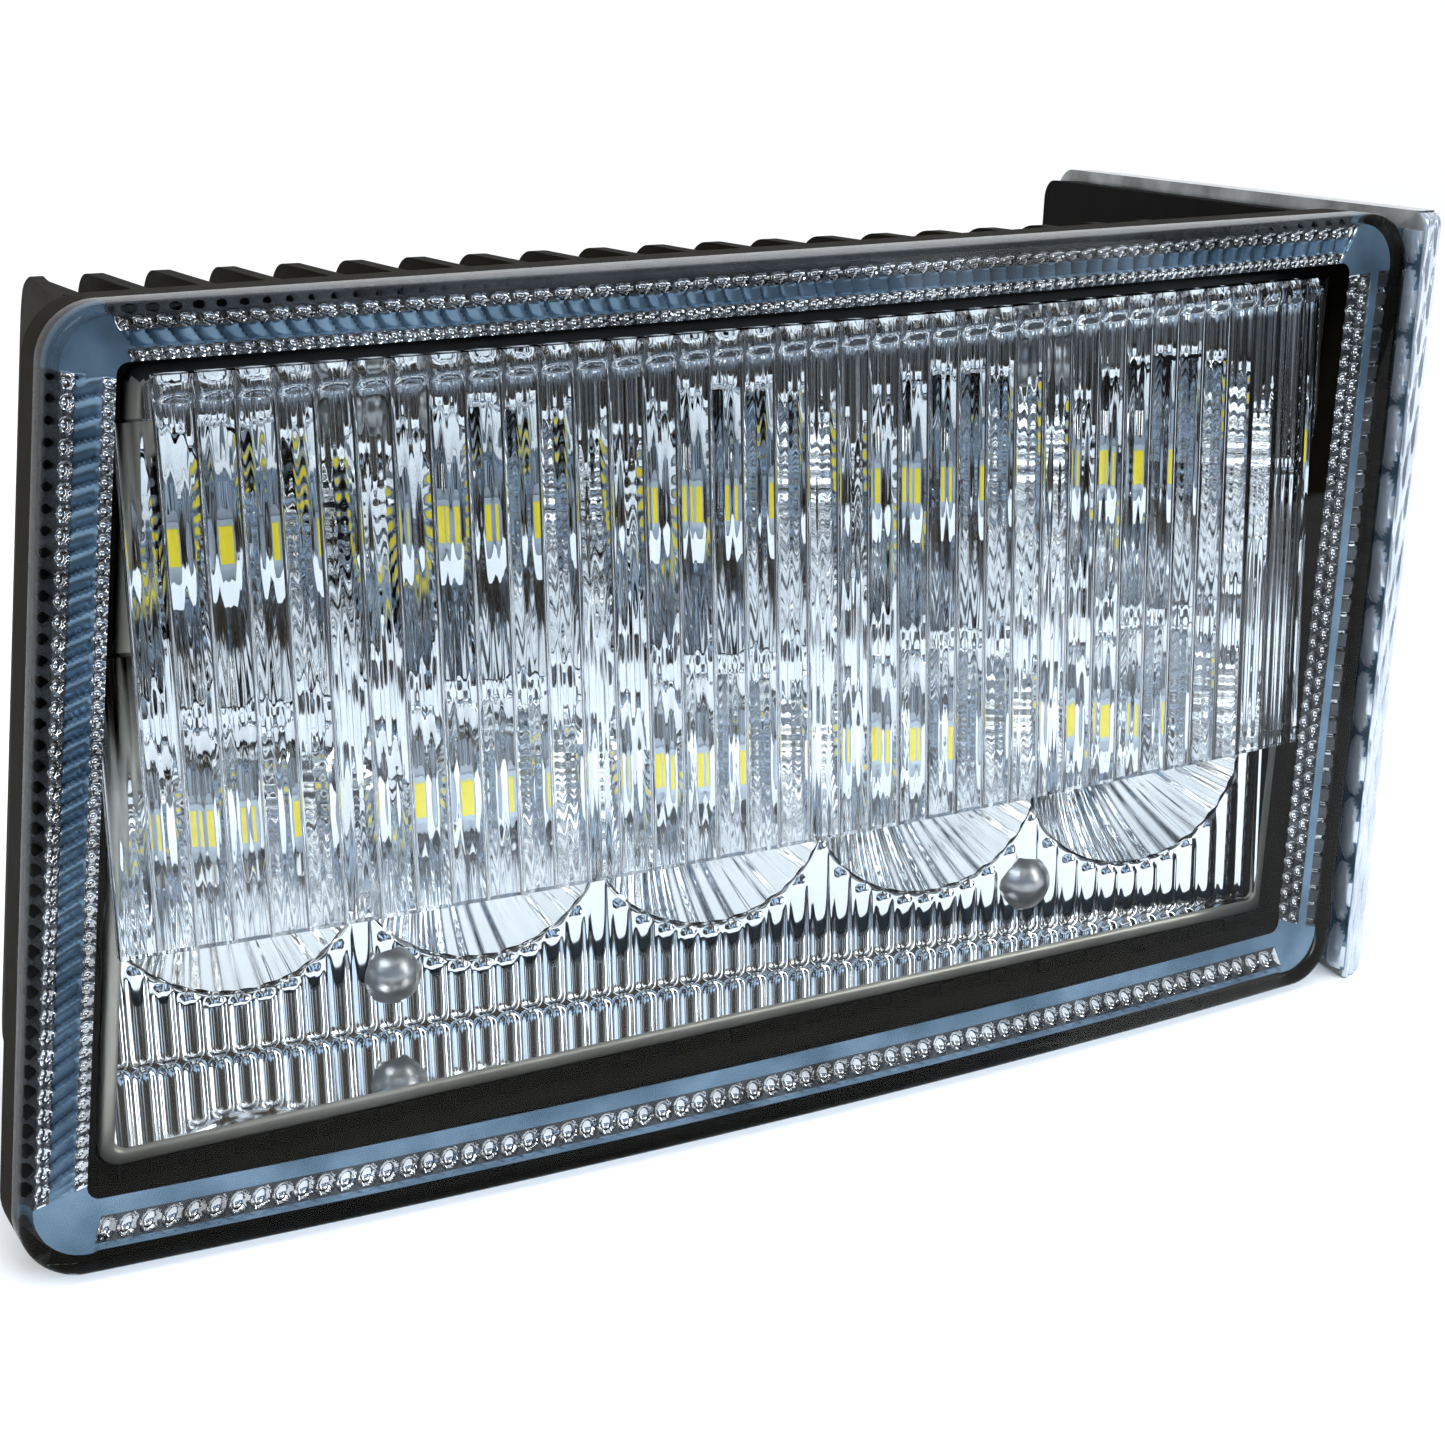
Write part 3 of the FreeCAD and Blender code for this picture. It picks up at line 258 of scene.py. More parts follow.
CAD_LOOKS = {
    "housing": POWDER, "rear_cover": POWDER, "lens_seal": SEALANT_AND_LIP_SHADE, "side_lens_bond": SEALANT_AND_LIP_SHADE,
    "reflector_screws": DOME_CHROME, "board_screws": STEEL, "driver_screws": STEEL,
    "rear_cover_screws": STEEL, "side_panel_screws": STEEL, "led_board": MASK_WHITE,
    "led_packages": LED_BODY, "led_phosphors": PHOSPHOR_PAINTED_GLOW, "thermal_pad": PAD_GREY,
    "driver_board": BOARD_GREEN, "driver_inductor": MOULDED, "driver_chips": MOULDED,
    "driver_capacitors": CAN, "power_terminal": TERMINAL_GREEN, "led_wires": WIRE_RED,
    "rear_cover_seal": RUBBER, "gland_body": NYLON, "gland_nut": NYLON, "gland_locknut": NYLON,
    "gland_seal": RUBBER, "vent_plug": NYLON, "vent_membrane": MEMBRANE, "mounting_inserts": BRASS,
    "side_panel": PANEL_BLACK, "side_lens": SIDE_CLEAR, "front_lens": LENS_CLEAR,
    "inner_lens": PLATE_CLEAR, "reflector": CHROME,
}
for node_name, look in CAD_LOOKS.items():
    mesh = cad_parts[node_name].data
    mesh.materials.clear()
    mesh.materials.append(look)


# ---------------------------------------------------------------- meshes

def build(name, points, faces, material, replaced, sharp_angle=35.0, others=()):
    """A mesh piece from points in millimetres, which stands for a CAD node."""
    mesh = bpy.data.meshes.new(name)
    mesh.from_pydata([tuple(Vector(point) * MM) for point in points], [], faces)
    mesh.validate()
    mesh.shade_smooth()
    mesh.set_sharp_from_angle(angle=math.radians(sharp_angle))
    mesh.materials.append(material)
    for number, (other_material, other_faces) in enumerate(others, start=1):
        mesh.materials.append(other_material)
        for index in other_faces:
            mesh.polygons[index].material_index = number
    piece = bpy.data.objects.new(name, mesh)
    bpy.context.scene.collection.objects.link(piece)
    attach(piece, "root")
    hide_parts(replaced)
    return piece


def outline_corners(left, right, bottom, top):
    """The lens outline's corners, counter-clockwise from bottom left, drawn in by four insets."""
    corners = []
    for at_left, z in ((True, bottom - HALF_HEIGHT), (False, bottom - HALF_HEIGHT),
                       (False, HALF_HEIGHT - top), (True, HALF_HEIGHT - top)):
        edge = LEFT_MIDDLE + LEFT_SLOPE * z + left if at_left else RIGHT_MIDDLE + RIGHT_SLOPE * z - right
        corners.append(Vector((edge, z)))
    return corners


def rounded_loop(corners, radius, side_counts, arc_count):
    """Points round a quadrilateral with filleted corners: side 0 is the bottom, then right, top, left."""
    fillets = []
    for index, corner in enumerate(corners):
        before = (corners[index - 1] - corner).normalized()
        after = (corners[(index + 1) % 4] - corner).normalized()
        half_angle = before.angle(after) / 2
        middle = corner + (before + after).normalized() * (radius / math.sin(half_angle))
        reach = radius / math.tan(half_angle)
        fillets.append((middle, corner + before * reach, corner + after * reach))
    points = []
    for index in range(4):
        middle, _, leave = fillets[index]
        following, arrive, after_arc = fillets[(index + 1) % 4]
        for step in range(side_counts[index]):
            points.append(leave.lerp(arrive, step / side_counts[index]))
        first = math.atan2(arrive.y - following.y, arrive.x - following.x)
        last = math.atan2(after_arc.y - following.y, after_arc.x - following.x)
        turn = (last - first) % (2 * math.pi)
        for step in range(arc_count):
            angle = first + turn * step / arc_count
            points.append(following + radius * Vector((math.cos(angle), math.sin(angle))))
    return points


def stitch(faces, first, second, count):
    """Quads between two closed rings of points that start at two indexes."""
    for index in range(count):
        after = (index + 1) % count
        faces.append((first + index, first + after, second + after, second + index))


# How far the window lies in from the lens outline on each side, and what stands between the two.
WINDOW = {"left": 10.6, "right": 13.5, "bottom": 11.7, "top": 8.8}
WINDOW_CORNER = 2.0
BORDER = 11.0
WALL_SHARE = 2.6 / BORDER
LENS_THICK = 3.0
FLANGE = 7.0
RIPPLE_SHARE = 0.08
SAMPLE = 0.34
ARC_SAMPLES = 40
BACK_ROWS = 30
OUTLINE_SIDES = ("bottom", "right", "top", "left")

# The rounded outer edge of the lens, as distances in from the outline and back from the face.
EDGE_ROUND = ((0, 1.6), (0.25, 0.75), (0.75, 0.25), (1.6, 0))

# Rows of oval beads: pitch, distance in from the outline, half length, half width and height.
BEAD_PITCH = 3.75
BOTTOM_PITCH = 3.9
BOTTOM_BEADS = (BOTTOM_PITCH, 6.4, 1.8, 2.0, 1.7)
RIGHT_BEADS = (BEAD_PITCH, 9.3, 1.6, 1.3, 1.5)
RIGHT_WINDOW_BEADS = (BEAD_PITCH, 12.0, 1.5, 1.3, 1.5)
OUTER_HALF_WIDE = 1.1
OUTER_BEAD = (1.65, OUTER_HALF_WIDE, 1.6)
SMALL_PITCH, SMALL_AT = 2.5, 1.0
SMALL_BEAD = (1.15, 1.0, 1.2)
BEAD_LEAST = 0.15

# Where the border is beaded, and how the relief fades out towards the rounded corners.
BOTTOM_BEADED = (4.2, 8.5)
RIGHT_BEADED = 7.8
CORNER_PLAIN, CORNER_FADE = 0.5, 1.5

# The smaller forms of the border: a scalloped ledge, a ladder's rungs and a band of shingles.
LEDGE_AT, LEDGE_WAVE, LEDGE_HIGH, LEDGE_SLOPE = 4.3, 0.7, 0.8, 0.3
RUNG_PITCH, RUNG_NARROW, RUNG_HIGH, RUNG_END = 4.0, 7, 1.1, 5.8
SHINGLE_SLANT, SHINGLE_HIGH = 0.45, 1.5
SMALL_BAND = 2.0
STEP_WIDE = 0.2


def oval(along, across, half_long, half_wide, height):
    """Height of an oval dome at a distance from its middle."""
    share = (along / half_long) ** 2 + (across / half_wide) ** 2
    return height * math.sqrt(max(0.0, 1 - share))


def bead_row(along, across, pitch, at, half_long, half_wide, height):
    """Height of a row of oval domes with a pitch, whose middles are at one distance across."""
    offset = (along % pitch) - pitch / 2
    return oval(offset, across - at, half_long, half_wide, height)


def outer_beads(side):
    """How far in the outer row of beads reaches on the left and top sides."""
    return WALL_SHARE * WINDOW[side] + 2 * OUTER_HALF_WIDE


def border_relief(side, along, inset):
    """How far the moulded beads and steps of the border stand out of the lens's back face."""
    if side == "bottom":
        ledge = LEDGE_AT - LEDGE_WAVE * abs(math.sin(math.pi * along / BOTTOM_PITCH))
        step = LEDGE_HIGH * smooth_step((ledge - inset) / LEDGE_SLOPE)
        return max(bead_row(along, inset, *BOTTOM_BEADS), step)
    if side == "right":
        to_rung = abs(along / RUNG_PITCH % 1 - 0.5)
        rungs = RUNG_HIGH * smooth_step(1 - to_rung * RUNG_NARROW) if inset < RUNG_END else 0.0
        return max(bead_row(along, inset, *RIGHT_BEADS), rungs,
                   bead_row(along + BEAD_PITCH / 2, inset, *RIGHT_WINDOW_BEADS))
    band_start, band_end = outer_beads(side), WINDOW[side] - SMALL_BAND
    outer = bead_row(along, inset, BEAD_PITCH, band_start - OUTER_HALF_WIDE, *OUTER_BEAD)
    small = bead_row(along, inset, SMALL_PITCH, WINDOW[side] - SMALL_AT, *SMALL_BEAD)
    slant = (along + SHINGLE_SLANT * inset) % BEAD_PITCH / BEAD_PITCH
    shingle = SHINGLE_HIGH * slant ** 1.5
    shingle *= smooth_step((inset - band_start) / STEP_WIDE) * smooth_step((band_end - inset) / STEP_WIDE)
    return max(outer, small, shingle)


def is_beaded(side, inset):
    """Whether that part of the border holds beads or rungs, and not the smooth band."""
    if side == "bottom":
        return BOTTOM_BEADED[0] < inset < BOTTOM_BEADED[1]
    if side == "right":
        return inset > RIGHT_BEADED or inset < RUNG_END
    return inset < outer_beads(side) or inset > WINDOW[side] - SMALL_BAND


def outline_stations():
    """Counts of points per side; and each point's side, place along it and share of the relief."""
    corners = outline_corners(0, 0, 0, 0)
    spans = [(corners[(index + 1) % 4] - corners[index]).length for index in range(4)]
    across, up = int(spans[0] / SAMPLE), int(spans[1] / SAMPLE)
    counts = [across, up, across, up]
    stations = []
    for index, side in enumerate(OUTLINE_SIDES):
        for step in range(counts[index]):
            to_corner = min(step, counts[index] - step) * SAMPLE
            fade = smooth_step((to_corner - CORNER_PLAIN) / CORNER_FADE)
            stations.append((side, step / counts[index] * spans[index], fade))
        for step in range(ARC_SAMPLES):
            near = side if step < ARC_SAMPLES / 2 else OUTLINE_SIDES[(index + 1) % 4]
            stations.append((near, 0.0, 0.0))
    return counts, stations


def make_front_lens():
    """The bowed clear cover: smooth outside, with beads and prisms moulded into its border's back."""
    counts, stations = outline_stations()
    total = len(stations)
    points, faces, rings = [], [], []

    def loop_at(share):
        insets = [WINDOW[side] * share for side in ("left", "right", "bottom", "top")]
        radius = CORNER + (WINDOW_CORNER - CORNER) * share
        return rounded_loop(outline_corners(*insets), radius, counts, ARC_SAMPLES)

    def add_ring(share, depth, ripple_start=None):
        rings.append(len(points))
        deeper = loop_at(share + RIPPLE_SHARE)
        for station, spot, deeper_spot in zip(stations, loop_at(share), deeper):
            side, place, fade = station
            if ripple_start is not None and side != "bottom":
                ripple = abs((place / BEAD_PITCH + ripple_start) % 1 - 0.5) * 2
                spot = spot.lerp(deeper_spot, ripple * fade)
            points.append(lens_point(spot.x, depth(spot.x, station, WINDOW[side] * share), spot.y))
        return rings[-1]

    def outer(back):
        return lambda u, station, inset: face_depth(u) + back

    def at_flange(u, station, inset):
        return FLANGE

    def inner(u, station, inset):
        side, place, fade = station
        return face_depth(u) + LENS_THICK + border_relief(side, place, inset) * fade

    add_ring(0, at_flange)
    for inset, back in EDGE_ROUND:
        add_ring(inset / BORDER, outer(back))
    front_window = add_ring(1, outer(0))
    back_window = add_ring(1, outer(LENS_THICK))
    shares = [1 - (1 - WALL_SHARE) * row / BACK_ROWS for row in range(BACK_ROWS + 1)]
    for share in shares:
        add_ring(share, inner, 0.0 if share == shares[-1] else None)
    wall_foot = add_ring(WALL_SHARE, at_flange, 0.5)
    looks = {"band": [], "bead": [], "ground": []}
    back_shares = iter(shares[1:] + shares[-1:])
    for first, second in zip(rings, rings[1:]):
        if second == back_window:
            continue
        if first > back_window:
            sort_border_faces(looks, len(faces), stations, next(back_shares), second == wall_foot)
        stitch(faces, first, second, total)
    stitch(faces, rings[-1], rings[0], total)
    fill_window(faces, front_window, counts, total, False)
    fill_window(faces, back_window, counts, total, True)
    # The border's back gets opaque mirror finishes with painted reflection tints, and painted shade on
    # the ground between the beads.
    return build("lens_cover", points, faces, LENS_CLEAR, "front_lens", 50.0,
                 ((BAND_PAINTED_REFLECTION, looks["band"]), (BEAD_PAINTED_REFLECTION, looks["bead"]), (BEAD_GROUND_PAINTED_SHADE, looks["ground"])))


def sort_border_faces(looks, first_face, stations, share, on_wall):
    """Sort the faces of one ring of the lens's back into smooth band, beads and the ground between."""
    for index, (side, place, fade) in enumerate(stations):
        inset = WINDOW[side] * share
        look = "band"
        if is_beaded(side, inset) and fade > 0:
            raised = border_relief(side, place + SAMPLE / 2, inset) > BEAD_LEAST
            look = "bead" if raised else "ground"
        if not (on_wall and side == "bottom"):
            looks[look].append(first_face + index)


def fill_window(faces, ring, counts, total, flip):
    """Upright strips between the bottom and top of a ring, with one face at each end."""
    across = counts[0]
    top = counts[0] + counts[1] + 2 * ARC_SAMPLES
    sheet = []
    for step in range(across):
        low, next_low = ring + step, ring + step + 1
        high, next_high = ring + top + across - step, ring + top + across - step - 1
        sheet.append((low, next_low, next_high, high))
    sheet.append([ring + index for index in range(across, top + 1)])
    sheet.append([ring + index % total for index in range(top + across, total + 1)])
    faces.extend(face[::-1] if flip else face for face in sheet)


def plate_from_cells(across, up, inside, front, back):
    """A closed plate over the cells of a grid that are inside its outline, as points and faces."""
    points, faces, index_of = [], [], {}

    def corner(i, j, rear):
        key = (i, j, rear)
        if key not in index_of:
            index_of[key] = len(points)
            points.append((back if rear else front)(across[i], up[j]))
        return index_of[key]

    cells = {(i, j) for i in range(len(across) - 1) for j in range(len(up) - 1)
             if inside((across[i] + across[i + 1]) / 2, (up[j] + up[j + 1]) / 2)}
    for i, j in sorted(cells):
        around = [(i, j), (i + 1, j), (i + 1, j + 1), (i, j + 1)]
        faces.append([corner(*spot, False) for spot in around])
        faces.append([corner(*spot, True) for spot in around][::-1])
        for side, neighbour in enumerate(((i, j - 1), (i + 1, j), (i, j + 1), (i - 1, j))):
            if neighbour not in cells:
                start, end = around[side], around[(side + 1) % 4]
                faces.append([corner(*end, False), corner(*start, False), corner(*start, True),
                              corner(*end, True)])
    return points, faces


# The fluted plate steps in by one flute at each of two heights on its left side.
PLATE_LEFT, PLATE_RIGHT = -101.4, 117.6
PLATE_LOW, PLATE_HIGH = in_mm("inner_lens")
STEP_ONE, STEP_TWO = 57.0, 22.0
FLUTE = 6.0
FLUTE_DEEP = 0.9
FINE_DEEP = 0.14
BAR_TALL, BAR_DEEP = 4.5, 0.9
PLATE_FRONT = 6.0
PLATE_THICK = 3.0
STEPS_PER_FLUTE = 16
STEPS_PER_BAR = 8


def make_fluted_plate():
    """The clear plate behind the lens: upright convex flutes on its back, fine ones on its front."""
    first = PLATE_LEFT - 2 * FLUTE
    count = round((PLATE_RIGHT - first) / FLUTE * STEPS_PER_FLUTE)
    across = [first + index * FLUTE / STEPS_PER_FLUTE for index in range(count)] + [PLATE_RIGHT]
    bar_low = PLATE_HIGH.z - BAR_TALL
    up = [PLATE_LOW.z, 0, STEP_TWO - 0.01, STEP_TWO, STEP_ONE]
    up += [bar_low + (PLATE_HIGH.z - bar_low) * step / STEPS_PER_BAR for step in range(STEPS_PER_BAR + 1)]

    def inside(u, z):
        left = PLATE_LEFT - (FLUTE if z < STEP_ONE else 0) - (FLUTE if z < STEP_TWO else 0)
        return u > left

    def front(u, z):
        share = (u - first) / FLUTE % 1
        fine = FINE_DEEP * abs(math.sin(3 * math.pi * share))
        height = max(0.0, (z - bar_low) / (PLATE_HIGH.z - bar_low))
        bar = BAR_DEEP * math.sin(math.pi * height) * abs(math.sin(math.pi * share)) ** 0.5
        return lens_point(u, face_depth(u) + PLATE_FRONT + fine - bar, z)

    def back(u, z):
        share = abs((u - first) / FLUTE % 1 - 0.5) * 2
        curve = FLUTE_DEEP * (1 - math.sqrt(1 - (0.98 * share) ** 2))
        return lens_point(u, face_depth(u) + PLATE_FRONT + PLATE_THICK - curve, z)

    points, faces = plate_from_cells(across, up, inside, front, back)
    return build("fluted_plate", points, faces, PLATE_CLEAR, "inner_lens", 40.0)


# The reflector: a bezel with a lip, a box behind it, and an apron with two rows of bowls.
BEZEL_LEFT, BEZEL_RIGHT, BEZEL_VERTICAL = 13.3, 8.4, 11.0
BEZEL_FRONT, BEZEL_BACK = 14.0, 16.0
BEZEL_CORNER, BEZEL_CORNER_SHRINK = 3.2, 0.6
LIP = 2.6
BOX_FRONT = BEZEL_FRONT + 0.6
BOX_TOP = HALF_HEIGHT - BEZEL_VERTICAL - LIP
APRON_Y = -44.0
APRON_STEPS = 640
BOWL_Y = -24.3
BOWL_RADIUS = 23.94
BOWL_FOCUS = 5.62
BOWL_PITCH = 43.7
BOWL_HOLE = 6.6
BOWL_FLOOR_SLOPE = 0.12
BOWL_COLUMNS = range(-2, 3)
WAVE_HIGH = 0.26
ROW_Z = 25.5
COLUMN_SHIFT = 2.0
RIB = BOWL_PITCH / 10
RIB_HALF = 0.45 * RIB
RIB_HIGH, RIB_GAP = 0.62, 0.9
RIM_HIGH, RIM_WIDE = 0.6, 0.8


def mirror_edge(at_left, z, extra):
    """The x of the reflector's slanted side at a height, drawn in by extra from the bezel's edge."""
    if at_left:
        return math.cos(SWEEP) * (LEFT_MIDDLE + LEFT_SLOPE * z) + BEZEL_LEFT + extra
    return math.cos(SWEEP) * (RIGHT_MIDDLE + RIGHT_SLOPE * z) - BEZEL_RIGHT - extra


def rib_height(x, z, middle, low, high):
    """Height of a rib with round ends, whose middle line runs up from low to high."""
    beyond = max(0.0, z - max(high, low), min(low, high) - z)
    share = math.hypot(x - middle, beyond) / RIB_HALF
    return RIB_HIGH * (1 - min(1.0, share) ** 3)


def scallop(x, level):
    """Half height of the open bowls of one row at x; level is 1 for the upper row."""
    shift = level * COLUMN_SHIFT
    nearest = min(abs(x - shift - column * BOWL_PITCH) for column in BOWL_COLUMNS)
    return math.sqrt(BOWL_RADIUS ** 2 - nearest ** 2) if nearest < BOWL_RADIUS else 0.0


def mirror_x(step, z):
    """The x at a step from the left side of the reflector's box to its right side, at a height."""
    left, right = mirror_edge(True, z, LIP), mirror_edge(False, z, LIP)
    return left + (right - left) * step / APRON_STEPS


def apron_rows(z_low, z_high, rim_low, rim_high, count=24):
    """Rows of points over a band of the apron, with ribs and with a rim where it meets the bowls."""
    no_rim = 99.0
    rows = []
    for j in range(count + 1):
        share = 0.5 - 0.5 * math.cos(math.pi * j / count)
        row = []
        for i in range(APRON_STEPS + 1):
            x = mirror_x(i, (z_low(0) + z_high(0)) / 2)
            low, high = z_low(x), z_high(x)
            z = low + (high - low) * share
            to_rim = min(high - z if rim_high else no_rim, z - low if rim_low else no_rim)
            rim = RIM_HIGH * max(0.0, 1 - to_rim / RIM_WIDE)
            middle = (math.floor(x / RIB) + 0.5) * RIB
            rib_low = z_low(middle) + RIB_HALF + (RIB_GAP if rim_low else 0.0)
            rib_high = z_high(middle) - RIB_HALF - (RIB_GAP if rim_high else 0.0)
            row.append((x, APRON_Y - max(rim, rib_height(x, z, middle, rib_low, rib_high)), z))
        rows.append(row)
    return rows


def wall_rows(edge):
    """Rows of points over a smooth wall of the box, from its front edge back to the apron."""
    def at(x, z, share):
        return x, lens_plane_y(x, BOX_FRONT) * (1 - share) + APRON_Y * share, z

    return [[at(x, z, share) for x, z in edge] for share in (0.0, 0.5, 1.0)]


def make_mirror():
    """The metallised reflector: bezel lip, smooth box walls, ribbed apron and ten bowls."""
    points, faces = [], []

    def sheet(rows):
        """Quads over a grid of points given row by row."""
        start = len(points)
        wide = len(rows[0])
        for row in rows:
            points.extend(row)
        for j in range(len(rows) - 1):
            for i in range(wide - 1):
                a = start + j * wide + i
                faces.append((a, a + 1, a + 1 + wide, a + wide))

    sheet(apron_rows(lambda x: -BOX_TOP, lambda x: -ROW_Z - scallop(x, -1), False, True))
    sheet(apron_rows(lambda x: -ROW_Z + scallop(x, -1), lambda x: ROW_Z - scallop(x, 1), True, True, 6))
    sheet(apron_rows(lambda x: ROW_Z + scallop(x, 1), lambda x: BOX_TOP, True, False))
    for z in (-BOX_TOP, BOX_TOP):
        sheet(wall_rows([(mirror_x(i, z), z) for i in range(0, APRON_STEPS + 1, 8)]))
    for at_left in (True, False):
        heights = [BOX_TOP * step / 8 for step in range(-8, 9)]
        sheet(wall_rows([(mirror_edge(at_left, z, LIP), z) for z in heights]))
    for level in (-1, 1):
        for column in BOWL_COLUMNS:
            sheet(bowl_rows(level, column))
    lip_start = len(faces)
    add_bezel(points, faces)
    # Painted shade: the upper lip, which lies in shadow under the border, gets the black sealant finish;
    # the lower lip keeps the silver finish.
    upper, lower = [], []
    for index in range(lip_start, len(faces)):
        at_top = all(points[corner][2] > BOX_TOP - 0.1 for corner in faces[index])
        (upper if at_top else lower).append(index)
    return build("mirror_reflector", points, faces, CHROME, "reflector", 50.0,
                 ((LIP_SILVER, lower), (SEALANT_AND_LIP_SHADE, upper)))


def bowl_limit(column, middle_x, middle_z, angle):
    """How far a bowl reaches at an angle before it meets its neighbour or the box's wall."""
    side = math.cos(angle)
    if abs(side) <= 1e-6:
        return BOWL_RADIUS
    if column * side > 0 and column in (BOWL_COLUMNS[0], BOWL_COLUMNS[-1]):
        wall = mirror_edge(side < 0, middle_z + BOWL_RADIUS * math.sin(angle), LIP)
        return min(BOWL_RADIUS, abs(wall - middle_x) / abs(side))
    return min(BOWL_RADIUS, BOWL_PITCH / 2 / abs(side))


def bowl_rows(level, column):
    """Rings of points over one bowl: a floor round the LED, then a paraboloid with faint waves."""
    around, deep, floor_rings = 360, 12, 5
    middle_x = column * BOWL_PITCH + level * COLUMN_SHIFT
    middle_z = level * ROW_Z
    rim = 2 * BOWL_FOCUS
    rows = [[] for _ in range(floor_rings + deep + 1)]
    for i in range(around + 1):
        angle = 2 * math.pi * i / around
        limit = bowl_limit(column, middle_x, middle_z, angle)
        waves = math.sin(40 * angle) + 0.6 * math.sin(23 * angle + 1.0)
        profile = []
        for j in range(floor_rings):
            radius = BOWL_HOLE + (rim - BOWL_HOLE) * j / floor_rings
            profile.append((radius, BOWL_FLOOR_SLOPE * (rim - radius)))
        for j in range(deep + 1):
            radius = rim + (limit - rim) * j / deep
            ahead = radius ** 2 / (4 * BOWL_FOCUS) - BOWL_FOCUS - WAVE_HIGH * waves * (j / deep)
            profile.append((radius, ahead))
        for row, (radius, ahead) in zip(rows, profile):
            row.append((middle_x + radius * math.cos(angle), BOWL_Y - ahead,
                        middle_z + radius * math.sin(angle)))
    return rows


def add_bezel(points, faces):
    """The bezel lip: a flat band parallel to the lens, rounded into the box."""
    side_counts, arcs = (120, 60, 120, 60), 8
    total = sum(side_counts) + 4 * arcs
    profile = [(0, BEZEL_BACK), (0, BEZEL_FRONT + 0.4), (0.4, BEZEL_FRONT), (LIP - 0.7, BEZEL_FRONT),
               (LIP - 0.2, BEZEL_FRONT + 0.2), (LIP, BEZEL_FRONT + 0.8)]
    starts = []
    for extra, depth in profile:
        starts.append(len(points))
        top = HALF_HEIGHT - BEZEL_VERTICAL - extra
        corners = [Vector((mirror_edge(at_left, z, extra), z))
                   for at_left, z in ((True, -top), (False, -top), (False, top), (True, top))]
        radius = BEZEL_CORNER - BEZEL_CORNER_SHRINK * extra
        for spot in rounded_loop(corners, radius, side_counts, arcs):
            points.append((spot.x, lens_plane_y(spot.x, depth), spot.y))
    for first, second in zip(starts, starts[1:]):
        stitch(faces, first, second, total)


# The side plate leans out towards its top, and its outer front edge is slanted.
LEAN = math.radians(3.4)
SIDE_INNER = 132.2
SIDE_THICK = 6.4
SIDE_FRONT, SIDE_BACK = -58.0, 89.0
SIDE_BOTTOM, SIDE_TOP = -76.0, 75.0
SIDE_CORNER = 7.0
SIDE_TOP_ROUND = 3.0
SLANT_WIDE, SLANT_DEEP = 6.0, 4.0
EDGE_ROUND_WIDE, EDGE_ROUND_DEEP = 0.5, 0.4

# Long facets stand in three columns, each set off by half a pitch from the next.
FACET_COLUMNS = 3
FACET_PITCH = 13.0
FACET_HALF_LONG = 6.2
EDGE_FACET_HALF_WIDE, EDGE_FACET_HIGH = 1.05, 0.5
STRIP_START, STRIP_WIDE = SIDE_FRONT + 0.6, 18.0
STRIP_BOTTOM, STRIP_TALL = SIDE_BOTTOM + 1.5, SIDE_TOP - SIDE_BOTTOM - 5.0
STRIP_FACET_HALF_WIDE, STRIP_FACET_HIGH = 2.9, 1.2


def side_point(x, y, z):
    """A point of the leaning side plate: x outwards from its inner face, y to the rear, z up along it."""
    return Vector((SIDE_INNER + x * math.cos(LEAN) + z * math.sin(LEAN), y,
                   z * math.cos(LEAN) - x * math.sin(LEAN)))


def facet(across, wide, z, half_wide, height):
    """Height of the facets at a place across their columns, which share a width, and at a height."""
    column = min(FACET_COLUMNS - 1, max(0, int(across / wide * FACET_COLUMNS)))
    offset = (z + column * FACET_PITCH / 2) % FACET_PITCH - FACET_PITCH / 2
    middle = (column + 0.5) * wide / FACET_COLUMNS
    return oval(offset, across - middle, FACET_HALF_LONG, half_wide, height)


def make_side_strip():
    """Three columns of long facets on the plate's inner face, ahead of the black panel."""
    across = [STRIP_START + STRIP_WIDE * step / 30 for step in range(31)]
    up = [STRIP_BOTTOM + STRIP_TALL * step / 240 for step in range(241)]

    def height(y, z):
        return facet(y - STRIP_START, STRIP_WIDE, z, STRIP_FACET_HALF_WIDE, STRIP_FACET_HIGH)

    points, faces = plate_from_cells(across, up, lambda y, z: True,
                                     lambda y, z: side_point(-0.05 - height(y, z), y, z),
                                     lambda y, z: side_point(0.1, y, z))
    domes = []
    for index, face in enumerate(faces):
        spot = sum((points[corner] for corner in face), Vector()) / len(face)
        if height(spot.y, spot.z) > 0:
            domes.append(index)
    return points, faces, domes


def side_outline(front_steps, edge_steps, arc_steps):
    """The side plate's outline from its front top corner: distance to the rear, and height."""
    outline = [(0.0, SIDE_TOP + (SIDE_BOTTOM - SIDE_TOP) * step / front_steps)
               for step in range(front_steps)]
    reach = SIDE_BACK - SIDE_CORNER - SIDE_FRONT
    outline += [(reach * step / edge_steps, SIDE_BOTTOM) for step in range(edge_steps)]
    for first, level in ((-math.pi / 2, SIDE_BOTTOM + SIDE_CORNER), (0.0, SIDE_TOP - SIDE_CORNER)):
        for step in range(arc_steps):
            angle = first + math.pi / 2 * step / arc_steps
            outline.append((reach + SIDE_CORNER * math.cos(angle), level + SIDE_CORNER * math.sin(angle)))
    outline += [(reach * (1 - step / edge_steps), SIDE_TOP) for step in range(edge_steps)]
    return outline, reach


